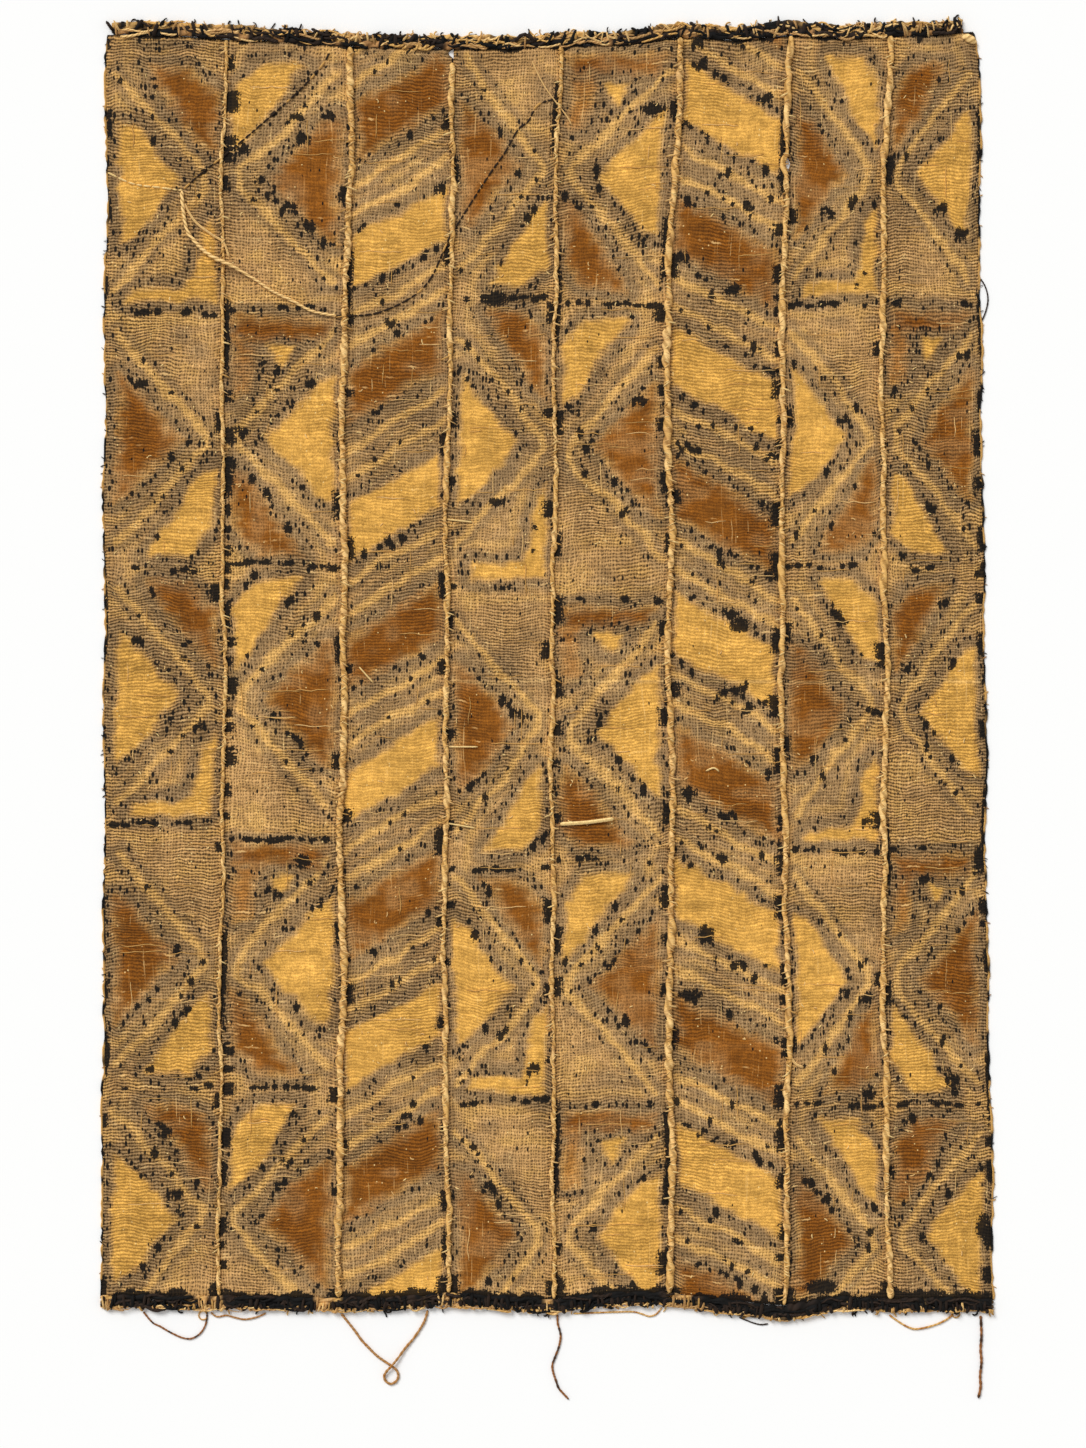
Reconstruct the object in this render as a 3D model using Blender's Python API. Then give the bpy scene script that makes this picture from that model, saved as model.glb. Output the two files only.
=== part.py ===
"""A mud cloth laid out flat, face up, in metres with +Z up.

Eight handwoven strips lie side by side. A whipped yarn stands along each joint, a thick
yarn is worked over the hems at the top and the foot, a mending cord crosses the first two
strips, and loose sewing threads lie beyond the edges. +Y runs to the top of the cloth and
+X to its right. The origin is on the surface that it lies on, under its middle.
"""

import math
from collections import namedtuple

import bmesh
import bpy

MM = 0.001
GAP = 0.3

# Driving sizes, in millimetres
STRIPS = 8
CLOTH = 2.0
SELVEDGE = 1.6
PUCKER = 0.5
EDGE_HALF = 8.0
EDGE_HEIGHT = 6.2
SEAM_HALF = 5.2
SEAM_HEIGHT = 4.6
SEAM_STEP = 24.0
THREAD_LIFT = 0.1

# Small waves along the cloth's sides and joints: how far they swing and how long they run
SIDE_WAVES = ((1.2, 37.0, 2.1), (0.5, 19.0, 1.0))

# The puckers on a strip's face: their run up the strip and how they turn across it
PUCKER_RUN = 47.0
PUCKER_TURN = 9.0
PUCKER_SHIFT = 2.3

# Where the cloth's two sides and its seven joints run, right of the middle, at heights
# above the middle
LINE_COLUMNS = (
    "height", "left", "joint_1", "joint_2", "joint_3", "joint_4",
    "joint_5", "joint_6", "joint_7", "right",
)
LINES = (
    (-720, -508.0, -376.0, -237.0, -111.5, 8.0, 141.5, 271.5, 390.0, 508.5),
    (-540, -506.0, -372.0, -236.0, -114.5, 7.0, 141.5, 273.5, 386.5, 506.0),
    (-360, -505.0, -373.0, -232.5, -117.5, 6.5, 139.0, 274.5, 383.5, 501.5),
    (-180, -504.0, -369.0, -235.0, -115.5, 5.5, 143.0, 270.0, 384.0, 499.5),
    (0, -504.0, -368.0, -231.0, -114.0, 5.5, 138.5, 267.0, 386.5, 499.0),
    (180, -504.0, -370.0, -232.0, -115.0, 9.0, 141.0, 268.5, 382.5, 496.0),
    (360, -503.5, -369.5, -232.0, -110.5, 8.5, 136.0, 268.0, 382.0, 494.0),
    (540, -501.5, -370.5, -224.5, -108.5, 10.5, 144.0, 271.5, 384.0, 492.5),
    (720, -502.0, -366.0, -223.5, -107.0, 15.0, 154.0, 277.0, 391.0, 493.5),
)

# The edge yarns' middle lines, and the lumps and sags on their outer sides. A place
# counts strips from the left side, so 0.5 is the middle of the first strip.
EDGE_COLUMNS = ("place", "top", "top_lump", "foot", "foot_lump")
EDGES = (
    (0.0, 728.5, 0.0, -725.0, 0.0),
    (0.5, 727.5, 1.5, -725.0, 0.0),
    (1.0, 723.0, 3.0, -725.0, 1.0),
    (1.5, 720.5, 0.0, -726.0, 0.0),
    (2.0, 715.0, 0.0, -727.0, 1.5),
    (2.5, 713.5, 0.0, -727.0, 0.0),
    (3.0, 712.5, 1.0, -721.5, 0.0),
    (3.5, 712.5, 0.0, -726.0, 0.0),
    (4.0, 716.0, 2.0, -728.5, 2.0),
    (4.5, 717.5, 0.0, -721.5, 0.0),
    (5.0, 726.0, 2.0, -721.5, 0.0),
    (5.5, 721.5, 2.0, -729.5, 1.0),
    (6.0, 727.5, 4.0, -735.5, 6.0),
    (6.5, 724.0, 0.0, -726.0, 1.0),
    (7.0, 727.5, 1.0, -728.5, 0.0),
    (7.5, 727.5, 0.0, -727.5, 0.0),
    (8.0, 732.0, 0.0, -729.5, 1.0),
)

# Rounded top corners, by place: how far down each one starts and how far in it ends
CORNERS = {0: (12.0, 5.0), 8: (57.0, 20.0)}

# Slits where a strip draws away from its joint
Slit = namedtuple("Slit", "joint side height half_length width")
SLITS = (
    Slit(6, "right", 573.0, 14.0, 4.6),
    Slit(3, "left", 699.0, 6.0, 6.5),
)

# A joining yarn that stops short of the top edge
SEAM_TOPS = {3: 688.0}

# A joining yarn's section: its shoulders as shares of its half width and height, how uneven
# its width, height and crest are, and how thin it gets at its ends and beside a slit
SEAM_SHOULDER = (0.75, 0.62)
SEAM_UNEVEN = {"half": 0.8, "tall": 0.6, "crest": 0.4}
SEAM_LEAN = 1.3
SEAM_END_SHARE = 0.7
SEAM_SLIT_SHARE = 0.8
SEAM_END_GAP = 1.0

# An edge yarn's section: its shoulders as shares of its reach and height, how uneven its
# outer side, height and crest are, and its steps to half a strip
EDGE_INNER_SHOULDER = (0.85, 0.7)
EDGE_OUTER_SHOULDER = (0.8, 0.6)
EDGE_UNEVEN = {"reach": 1.3, "tall": 0.9, "crest": 1.5}
EDGE_STEPS = 5

# A strip's columns across, and its hem: how far in from the end, and the rise
COLUMNS = (0.0, 0.065, 0.28, 0.5, 0.72, 0.935, 1.0)
PLAIN_ROWS = 26
HEM = ((0.0, 0.8), (6.0, 2.0), (15.0, 0.0))

# Colours and finishes
YARNS = {
    "strip": ((0.50, 0.30, 0.11), 0.92),
    "seam": ((0.62, 0.44, 0.20), 0.90),
    "edging": ((0.06, 0.045, 0.035), 0.88),
    "mending": ((0.66, 0.48, 0.24), 0.88),
    "thread": ((0.30, 0.17, 0.08), 0.88),
}

# The mending cord and the loose threads: the diameter, then the route's points as right,
# up and the height of the cord's underside over the surface
MENDING_DIAMETER = 5.0
MENDING_ROUTE = (
    (-416.0, 541.5, 2.9), (-414.0, 518.5, 2.9), (-410.0, 497.5, 2.9), (-403.5, 487.5, 3.0),
    (-392.0, 475.0, 4.2), (-380.5, 466.5, 6.9), (-369.0, 461.0, 7.4), (-358.0, 456.0, 6.9),
    (-345.0, 448.5, 4.2), (-330.0, 439.5, 2.9), (-313.0, 428.0, 2.9), (-289.5, 416.5, 2.9),
    (-268.5, 405.5, 2.9), (-247.5, 401.0, 2.9), (-240.0, 400.0, 2.9),
)
THREADS = (
    ("thread_1", 2.0, (
        (-460.0, -735.0, 0.0), (-454.0, -742.5, 0.0), (-448.5, -748.0, 0.0),
        (-441.0, -751.5, 0.0), (-433.5, -756.0, 0.0), (-425.0, -760.5, 0.0),
        (-415.5, -764.5, 0.0), (-406.0, -765.5, 0.0), (-397.0, -761.0, 0.0),
        (-391.0, -753.5, 0.0), (-388.0, -744.5, 0.0), (-387.5, -735.0, 0.0),
    )),
    ("thread_2", 2.0, (
        (-383.0, -735.8, 0.0), (-376.0, -740.5, 0.0), (-365.5, -739.0, 0.0),
        (-355.5, -741.5, 0.0), (-344.5, -743.5, 0.0), (-331.0, -741.0, 0.0),
        (-320.5, -736.4, 0.0),
    )),
    ("thread_3", 2.8, (
        (-234.5, -737.0, 0.0), (-226.5, -747.0, 0.0), (-219.0, -756.5, 0.0),
        (-211.5, -767.0, 0.0), (-203.0, -776.0, 0.0), (-195.0, -784.0, 0.0),
        (-187.0, -790.0, 0.0), (-178.0, -796.0, 0.0), (-171.5, -801.5, 0.0),
        (-169.5, -808.0, 0.0), (-172.0, -814.0, 0.0), (-178.0, -817.0, 0.0),
        (-183.5, -814.0, 0.3), (-185.5, -808.0, 1.4), (-182.5, -802.0, 2.9),
        (-177.0, -796.0, 3.6), (-170.0, -787.5, 2.6), (-161.5, -776.0, 0.8),
        (-152.0, -765.0, 0.0), (-144.5, -754.0, 0.0), (-139.5, -745.0, 0.0),
        (-136.0, -733.2, 0.0),
    )),
    ("thread_4", 2.4, (
        (12.0, -738.2, 0.0), (12.0, -747.5, 0.0), (14.0, -755.0, 0.0),
        (15.5, -763.0, 0.0), (13.5, -774.5, 0.0), (9.5, -785.5, 0.0),
        (6.0, -795.5, 0.0), (7.0, -804.0, 0.0), (10.0, -813.0, 0.0),
        (13.0, -821.5, 0.0), (18.5, -828.0, 0.0), (24.5, -834.5, 0.0),
    )),
    ("thread_5", 1.8, (
        (30.0, -736.8, 0.0), (42.5, -736.6, 0.0), (54.5, -736.0, 0.0),
        (67.5, -735.5, 0.0), (85.5, -735.0, 0.0), (99.0, -735.0, 0.0),
        (108.5, -737.5, 0.0), (116.5, -740.0, 0.0), (124.5, -737.5, 0.0),
        (131.0, -729.8, 0.0),
    )),
    ("thread_6", 1.6, (
        (219.0, -741.2, 0.0), (227.0, -744.5, 0.0), (235.0, -747.5, 0.0),
        (243.5, -749.5, 0.0), (252.0, -748.6, 0.0),
    )),
    ("thread_7", 2.2, (
        (390.0, -738.5, 0.0), (402.0, -747.0, 0.0), (412.0, -752.5, 0.0),
        (421.5, -754.5, 0.0), (438.5, -751.0, 0.0), (453.0, -745.0, 0.0),
        (463.0, -737.7, 0.0),
    )),
    ("thread_8", 3.0, (
        (494.0, -739.3, 0.0), (495.0, -761.0, 0.0), (494.0, -777.5, 0.0),
        (495.0, -791.5, 0.0), (493.5, -808.0, 0.0), (494.0, -820.0, 0.0),
        (491.5, -833.0, 0.0),
    )),
    ("thread_9", 1.6, (
        (494.0, 442.5, 0.0), (498.5, 435.5, 0.0), (501.5, 427.0, 0.0),
        (502.5, 419.0, 0.0), (501.5, 411.0, 0.0), (499.0, 402.5, 0.0),
        (495.5, 394.5, 0.0),
    )),
)
THREAD_STEPS = 2.6


def clear_scene():
    for old in list(bpy.data.objects):
        bpy.data.objects.remove(old, do_unlink=True)


def wander(n):
    """A fixed unevenness from -1 to 1 for each number."""
    part = math.sin(n * 12.9898 + 4.1) * 43758.5453
    return 2.0 * (part - math.floor(part)) - 1.0


def eased(before, start, end, after, t):
    """A smooth curve from start to end that keeps its neighbours' direction."""
    return 0.5 * (
        2.0 * start
        + (end - before) * t
        + (2.0 * before - 5.0 * start + 4.0 * end - after) * t * t
        + (3.0 * start - before - 3.0 * end + after) * t * t * t
    )


def column(rows, columns, name):
    at = columns.index(name)
    return [row[at] for row in rows]


def read_table(rows, columns, key, name, value, smooth=False):
    """Read a named column at a value of the key column."""
    keys = column(rows, columns, key)
    values = column(rows, columns, name)
    value = min(max(value, keys[0]), keys[-1])
    i = max(n for n in range(len(keys) - 1) if n == 0 or keys[n] <= value)
    t = (value - keys[i]) / (keys[i + 1] - keys[i])
    if not smooth:
        return values[i] + t * (values[i + 1] - values[i])
    before = values[max(i - 1, 0)]
    after = values[min(i + 2, len(values) - 1)]
    return eased(before, values[i], values[i + 1], after, t)


def edge(place, name):
    return read_table(EDGES, EDGE_COLUMNS, "place", name, place)


def end_height(place, up):
    """Where a strip ends, next to the edge yarn: up is 1 at the top and -1 at the foot."""
    return edge(place, "top" if up > 0 else "foot") - up * (EDGE_HALF + GAP)


def corner_inset(place, height):
    drop, inset = CORNERS.get(place, (1.0, 0.0))
    t = min(max((height - edge(place, "top") + drop) / drop, 0.0), 1.0)
    return inset * (1.0 - math.sqrt(1.0 - t * t))


def line(place, height):
    """Where a side or a joint runs, at a whole place from 0 to 8."""
    x = read_table(LINES, LINE_COLUMNS, "height", LINE_COLUMNS[place + 1], height, smooth=True)
    for swing, run, shift in SIDE_WAVES:
        x += swing * math.sin(height / run + shift * place)
    return x + corner_inset(place, height) * (1.0 if place == 0 else -1.0)


def slit_share(slit, height):
    """From 0 at a slit's ends to 1 at its widest."""
    t = abs(height - slit.height) / slit.half_length
    return 0.5 * (1.0 + math.cos(math.pi * t)) if t < 1.0 else 0.0


def drawn_back(joint, side, height):
    """How far a strip's edge has drawn back from its joint."""
    here = [slit for slit in SLITS if slit.joint == joint and slit.side == side]
    return sum(slit.width * slit_share(slit, height) for slit in here)


def side_of_strip(strip, across, height):
    """The strip's edge at across 0 or 1, clear of its neighbour."""
    if across == 0.0:
        x = line(strip - 1, height)
        return x + (GAP / 2 + drawn_back(strip - 1, "right", height) if strip > 1 else 0.0)
    x = line(strip, height)
    return x - (GAP / 2 + drawn_back(strip, "left", height) if strip < STRIPS else 0.0)


def row_shares():
    """Shares of the height at which every strip has a row of points."""
    tall = end_height(0.5, 1) - end_height(0.5, -1)
    shares = {n / PLAIN_ROWS for n in range(PLAIN_ROWS + 1)}
    for inset, _ in HEM:
        shares |= {inset / tall, 1.0 - inset / tall}
    for slit in SLITS:
        low, high = end_height(slit.joint, -1), end_height(slit.joint, 1)
        for step in (-1.0, -0.5, 0.0, 0.5, 1.0):
            at = slit.height + step * slit.half_length
            shares.add(min((at - low) / (high - low), 1.0))
    return sorted(shares)


def hem_rise(strip, height, across):
    place = strip - 1 + across
    inset = min(end_height(place, 1) - height, height - end_height(place, -1))
    return read_table(HEM, ("inset", "rise"), "inset", "rise", inset)


def face_height(strip, across, height):
    """The upper face: thin along the selvedges, gently puckered between them."""
    if across < COLUMNS[2] or across > COLUMNS[-3]:
        return SELVEDGE
    wave = math.sin(height / PUCKER_RUN + PUCKER_SHIFT * strip)
    wave *= math.cos(PUCKER_TURN * across + strip)
    return CLOTH + PUCKER * wave + hem_rise(strip, height, across)


def yarn_material(kind):
    colour, roughness = YARNS[kind]
    name = kind + "_yarn"
    material = bpy.data.materials.get(name)
    if material is None:
        material = bpy.data.materials.new(name)
        material.use_nodes = True
        shader = material.node_tree.nodes["Principled BSDF"]
        shader.inputs["Base Color"].default_value = (*colour, 1.0)
        shader.inputs["Roughness"].default_value = roughness
    return material


def add_object(name, data, kind):
    data.materials.append(yarn_material(kind))
    made = bpy.data.objects.new(name, data)
    bpy.data.collections["mud_cloth"].objects.link(made)
    return made


def finish_mesh(name, bm, kind):
    bmesh.ops.recalc_face_normals(bm, faces=bm.faces)
    mesh = bpy.data.meshes.new(name)
    bm.to_mesh(mesh)
    bm.free()
    mesh.shade_smooth()
    mesh.set_sharp_from_angle(angle=math.radians(50))
    return add_object(name, mesh, kind)


def loft(name, rings, kind):
    """A closed solid through rings of the same number of points, capped at both ends."""
    bm = bmesh.new()
    made = [[bm.verts.new([MM * c for c in point]) for point in ring] for ring in rings]
    for ring, after in zip(made, made[1:]):
        for i in range(len(ring)):
            j = (i + 1) % len(ring)
            bm.faces.new((ring[i], ring[j], after[j], after[i]))
    bm.faces.new(made[0])
    bm.faces.new(made[-1])
    return finish_mesh(name, bm, kind)


def build_strip(strip):
    """One sheet: a puckered face over a flat underside, with a rolled hem at each end."""
    bm = bmesh.new()
    grid = []
    for share in row_shares():
        row = []
        for across in COLUMNS:
            place = strip - 1 + across
            low, high = end_height(place, -1), end_height(place, 1)
            height = low + share * (high - low)
            left, right = (side_of_strip(strip, side, height) for side in (0.0, 1.0))
            x = left + across * (right - left)
            row.append(bm.verts.new((MM * x, MM * height, MM * face_height(strip, across, height))))
        grid.append(row)
    for row, above in zip(grid, grid[1:]):
        for i in range(len(row) - 1):
            bm.faces.new((row[i], row[i + 1], above[i + 1], above[i]))
    rim = grid[0][:-1] + [row[-1] for row in grid[:-1]]
    rim += grid[-1][:0:-1] + [row[0] for row in grid[:0:-1]]
    below = [bm.verts.new((v.co.x, v.co.y, 0.0)) for v in rim]
    for i in range(len(rim)):
        j = (i + 1) % len(rim)
        bm.faces.new((rim[i], rim[j], below[j], below[i]))
    bm.faces.new(below)
    return finish_mesh(f"strip_{strip}", bm, "strip")


def seam_ring(joint, n, height, share):
    """One section of a joining yarn; share thins it at its ends."""
    half = (SEAM_HALF + SEAM_UNEVEN["half"] * wander(n + 31 * joint)) * share
    tall = (SEAM_HEIGHT + SEAM_UNEVEN["tall"] * wander(n * 1.7 + joint)) * share
    lean = SEAM_LEAN * (-1) ** n + SEAM_UNEVEN["crest"] * wander(n * 0.9 + joint)
    shoulder_out, shoulder_up = SEAM_SHOULDER
    middle = line(joint, height)
    low = SELVEDGE + GAP
    opened = sum(slit_share(slit, height) for slit in SLITS if slit.joint == joint)
    right = half * (1.0 - SEAM_SLIT_SHARE * opened)
    return [
        (middle - half, height, low),
        (middle - shoulder_out * half, height, low + shoulder_up * tall),
        (middle + lean * (1.0 - opened), height, low + tall),
        (middle + shoulder_out * right, height, low + shoulder_up * tall),
        (middle + right, height, low),
    ]


def build_seam(joint):
    """The whipped yarn that stands as a lumpy rope along one joint."""
    low = end_height(joint, -1) + SEAM_END_GAP
    high = SEAM_TOPS.get(joint, end_height(joint, 1) - SEAM_END_GAP)
    count = round((high - low) / SEAM_STEP)
    heights = [low + (high - low) * n / count for n in range(count + 1)]
    for slit in SLITS:
        if slit.joint == joint:
            heights += [slit.height + step * slit.half_length for step in (-1.0, 0.0, 1.0)]
    heights = sorted(h for h in heights if h <= high)
    rings = [
        seam_ring(joint, n, height, SEAM_END_SHARE if height in (low, high) else 1.0)
        for n, height in enumerate(heights)
    ]
    return loft(f"seam_{joint}", rings, "seam")


def edge_ring(name, up, place, n):
    """One section of an edge yarn: straight along the cloth, lumpy on its outer side."""
    whole = int(min(place, STRIPS - 0.001))
    height = edge(place, name)
    left, right = line(whole, height), line(whole + 1, height)
    x = left + (place - whole) * (right - left)
    reach = EDGE_HALF + edge(place, name + "_lump")
    reach += EDGE_UNEVEN["reach"] * wander(n + 7 * up)
    tall = EDGE_HEIGHT + EDGE_UNEVEN["tall"] * wander(1.3 * n + up)
    inner_out, inner_up = EDGE_INNER_SHOULDER
    outer_out, outer_up = EDGE_OUTER_SHOULDER
    section = (
        (-EDGE_HALF, 0.0),
        (-inner_out * EDGE_HALF, inner_up * tall),
        (EDGE_UNEVEN["crest"] * wander(0.7 * n), tall),
        (outer_out * reach, outer_up * tall),
        (reach, 0.0),
    )
    return [(x, height + up * out, z) for out, z in section]


def build_edging(name, up):
    """The thick yarn worked over the hems along the top or the foot."""
    places = [n / (2 * EDGE_STEPS) for n in range(2 * STRIPS * EDGE_STEPS + 1)]
    rings = [edge_ring(name, up, place, n) for n, place in enumerate(places)]
    return loft(f"edging_{name}", rings, "edging")


def smooth_route(points, spacing):
    """Even points along a smooth curve through the route's own points."""
    fine = []
    for i in range(len(points) - 1):
        four = [points[min(max(k, 0), len(points) - 1)] for k in range(i - 1, i + 3)]
        for step in range(16):
            fine.append([eased(*values, step / 16) for values in zip(*four)])
    fine.append(list(points[-1]))
    runs = [0.0]
    for a, b in zip(fine, fine[1:]):
        runs.append(runs[-1] + math.dist(a, b))
    count = max(2, round(runs[-1] / spacing))
    route = []
    for n in range(count + 1):
        at = runs[-1] * n / count
        i = max(k for k in range(len(runs) - 1) if runs[k] <= at)
        t = (at - runs[i]) / (runs[i + 1] - runs[i])
        route.append([a + t * (b - a) for a, b in zip(fine[i], fine[i + 1])])
    return route


def build_cord(name, diameter, route, kind):
    """A round yarn along its route, whose points give the height of its underside."""
    raised = [(x, y, under + diameter / 2 + THREAD_LIFT) for x, y, under in route]
    points = smooth_route(raised, diameter * THREAD_STEPS)
    curve = bpy.data.curves.new(name, "CURVE")
    curve.dimensions = "3D"
    curve.bevel_depth = MM * diameter / 2
    curve.bevel_resolution = 2
    curve.use_fill_caps = True
    spline = curve.splines.new("POLY")
    spline.points.add(len(points) - 1)
    for place, point in zip(spline.points, points):
        place.co = (*(MM * c for c in point), 1.0)
    return add_object(name, curve, kind)


def build_cloth():
    collection = bpy.data.collections.new("mud_cloth")
    bpy.context.scene.collection.children.link(collection)
    for strip in range(1, STRIPS + 1):
        build_strip(strip)
    for joint in range(1, STRIPS):
        build_seam(joint)
    build_edging("top", 1)
    build_edging("foot", -1)
    build_cord("mending_cord", MENDING_DIAMETER, MENDING_ROUTE, "mending")
    for name, diameter, route in THREADS:
        build_cord(name, diameter, route, "thread")


clear_scene()
build_cloth()
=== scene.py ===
"""The looks of a mud cloth that lies flat, face up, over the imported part.

Sizes are in millimetres and the chart of the pattern is in centimetres. +Y runs to the top
of the cloth, +X to its right and +Z up. The strips, the joining yarns, the edge yarns, the
mending cord and the loose threads each stand for their own solids.
"""

import math

import bpy
import numpy as np
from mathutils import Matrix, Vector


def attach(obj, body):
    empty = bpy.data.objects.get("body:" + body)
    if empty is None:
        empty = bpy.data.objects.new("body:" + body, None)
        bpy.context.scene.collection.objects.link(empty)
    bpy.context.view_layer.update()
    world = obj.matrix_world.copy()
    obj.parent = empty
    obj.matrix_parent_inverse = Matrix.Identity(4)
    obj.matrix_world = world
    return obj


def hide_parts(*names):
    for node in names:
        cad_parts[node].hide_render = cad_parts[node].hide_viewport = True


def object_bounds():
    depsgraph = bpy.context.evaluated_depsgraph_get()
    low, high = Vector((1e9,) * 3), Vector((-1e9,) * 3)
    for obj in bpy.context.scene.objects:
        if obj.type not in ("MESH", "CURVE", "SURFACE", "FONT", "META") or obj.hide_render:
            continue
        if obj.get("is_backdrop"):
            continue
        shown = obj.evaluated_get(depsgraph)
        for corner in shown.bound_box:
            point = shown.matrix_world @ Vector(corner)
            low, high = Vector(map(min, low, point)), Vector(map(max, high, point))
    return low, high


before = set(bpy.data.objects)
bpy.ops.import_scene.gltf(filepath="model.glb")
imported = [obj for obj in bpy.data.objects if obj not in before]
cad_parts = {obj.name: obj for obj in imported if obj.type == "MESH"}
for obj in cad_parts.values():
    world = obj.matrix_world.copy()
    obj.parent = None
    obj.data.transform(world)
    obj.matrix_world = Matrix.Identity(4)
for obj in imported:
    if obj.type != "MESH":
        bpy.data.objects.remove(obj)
CAD_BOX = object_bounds()

MM = 0.001
CM = 10.0
GAP = 0.3
FAR = 1.0e9

# The view: straight down, with the image's long side as tall as this stretch of floor
VIEW_TALL = 1650.7
VIEW_MIDDLE = (-4.6, -65.0)
CAMERA_HEIGHT = 4000.0
SENSOR = 36.0
SEES_TO = 60.0

# The floor's half width and how far it lies under the cloth, then the light: how bright the
# room and the lamp are, how wide the lamp looks, and how far it leans to the front and side
FLOOR_HALF = 30000.0
FLOOR_DROP = 0.2
ROOM_LIGHT = 0.50
LAMP_LIGHT = 2.2
LAMP_WIDE = 28.0
LAMP_LEAN = (-34.0, -30.0)

# The cloth: its height at the strips' sides and over the rest, its ribs, and the hem's rise
# at distances from the end
STRIPS = 8
SELVEDGE = 1.6
FACE = 2.0
EDGE_HALF = 8.0
RIBS = 392
ROWS_TO_A_RIB = 2
COLUMNS = 36
UNDER_COLUMNS = 9
RIB_RISE = 0.27
HEM = ((0.0, 0.8), (6.0, 2.0), (15.0, 0.0))

# How each side and joint wavers: how far, over what run, and its shift from the last one
SIDE_WAVES = ((1.2, 37.0, 2.1), (0.5, 19.0, 1.0))

# A painted highlight along a fold that crosses the strips from this one on, at this height, and how much
# deeper the painted shade in the rib valleys is on the two outer strips
FOLD_HIGHLIGHT_FROM = 4
FOLD_HIGHLIGHT_HEIGHT = -16.0
OUTER_RIB_SHADE = 0.42

# Where the cloth's two sides and its seven joints run, right of the middle, at heights
# above the middle
LINE_COLUMNS = (
    "height", "left", "joint_1", "joint_2", "joint_3", "joint_4",
    "joint_5", "joint_6", "joint_7", "right",
)
LINES = (
    (-720, -508.0, -376.0, -237.0, -111.5, 8.0, 141.5, 271.5, 390.0, 508.5),
    (-540, -506.0, -372.0, -236.0, -114.5, 7.0, 141.5, 273.5, 386.5, 506.0),
    (-360, -505.0, -373.0, -232.5, -117.5, 6.5, 139.0, 274.5, 383.5, 501.5),
    (-180, -504.0, -369.0, -235.0, -115.5, 5.5, 143.0, 270.0, 384.0, 499.5),
    (0, -504.0, -368.0, -231.0, -114.0, 5.5, 138.5, 267.0, 386.5, 499.0),
    (180, -504.0, -370.0, -232.0, -115.0, 9.0, 141.0, 268.5, 382.5, 496.0),
    (360, -503.5, -369.5, -232.0, -110.5, 8.5, 136.0, 268.0, 382.0, 494.0),
    (540, -501.5, -370.5, -224.5, -108.5, 10.5, 144.0, 271.5, 384.0, 492.5),
    (720, -502.0, -366.0, -223.5, -107.0, 15.0, 154.0, 277.0, 391.0, 493.5),
)

# The edge yarns' middle lines and the lumps on their outer sides. A place counts strips
# from the left side.
EDGE_COLUMNS = ("place", "top", "top_lump", "foot", "foot_lump")
EDGES = (
    (0.0, 728.5, 0.0, -725.0, 0.0),
    (0.5, 727.5, 1.5, -725.0, 0.0),
    (1.0, 723.0, 3.0, -725.0, 1.0),
    (1.5, 720.5, 0.0, -726.0, 0.0),
    (2.0, 715.0, 0.0, -727.0, 1.5),
    (2.5, 713.5, 0.0, -727.0, 0.0),
    (3.0, 712.5, 1.0, -721.5, 0.0),
    (3.5, 712.5, 0.0, -726.0, 0.0),
    (4.0, 716.0, 2.0, -728.5, 2.0),
    (4.5, 717.5, 0.0, -721.5, 0.0),
    (5.0, 726.0, 2.0, -721.5, 0.0),
    (5.5, 721.5, 2.0, -729.5, 1.0),
    (6.0, 727.5, 4.0, -735.5, 6.0),
    (6.5, 724.0, 0.0, -726.0, 1.0),
    (7.0, 727.5, 1.0, -728.5, 0.0),
    (7.5, 727.5, 0.0, -727.5, 0.0),
    (8.0, 732.0, 0.0, -729.5, 1.0),
)

# The top corners by place: how far down and how far in they are rounded. Then the slits
# beside the joints, and where a joining yarn stops short of the top.
CORNERS = {0: (12.0, 5.0), 8: (57.0, 20.0)}
SLIT_COLUMNS = ("joint", "side", "middle", "half", "width")
SLITS = ((6, "right", 573.0, 14.0, 4.6), (3, "left", 699.0, 6.0, 6.5))
SEAM_TOPS = {3: 688.0}

# Colours, as a screen shows them
COLOURS = {
    "gold": (217, 163, 77),
    "brown": (138, 80, 17),
    "tan": (198, 153, 96),
    "grey": (152, 122, 84),
    "line": (216, 168, 96),
    "mud": (17, 16, 15),
    "rust": (172, 110, 42),
    "pale": (240, 198, 130),
    "cream": (254, 220, 150),
    "thread": (178, 130, 78),
    "umber": (146, 94, 50),
    "dark": (48, 36, 28),
    "floor": (254, 254, 253),
    # painted shade seen in the gaps of the open weave
    "gap_shade": (66, 50, 34),
}

# The zigzag's shapes, charted once for a strip whose triangles stand on its left side: a
# share of the strip's width, then centimetres above the shape's own middle or bar
CHART_WIDE = 127.0
TRIANGLE = ((.1, 7.2), (.22, 6.2), (.46, 2.6), (.63, 0), (.46, -2.6), (.22, -6.2), (.1, -7.2))
CHEVRON = ((.1, 12.0), (.5, 6.2), (.86, .8), (.86, -.8), (.5, -6.2), (.1, -12.0))
WING = ((.36, 1.6), (.48, 3.8), (.65, 7.4), (.8, 10.2), (.91, 11.4), (.92, 4.6), (.72, 1.8))
FRAME = ((.92, 11.0), (.82, 9.4), (.77, 4.2), (.7, 2.7), (.24, 2.5), (.2, 1.2), (.92, 1.2))
PANEL = ((.1, -.9), (.91, -.9), (.91, -3.2), (.2, -3.0))
LEG = ((.74, -3.2), (.91, -3.2), (.9, -9.6), (.77, -9.0))
SPOT = ((.4, -4.0), (.62, -4.0), (.54, -6.2), (.48, -6.0))
BAR = ((.05, 0), (.5, .1), (.97, 0))

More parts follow.
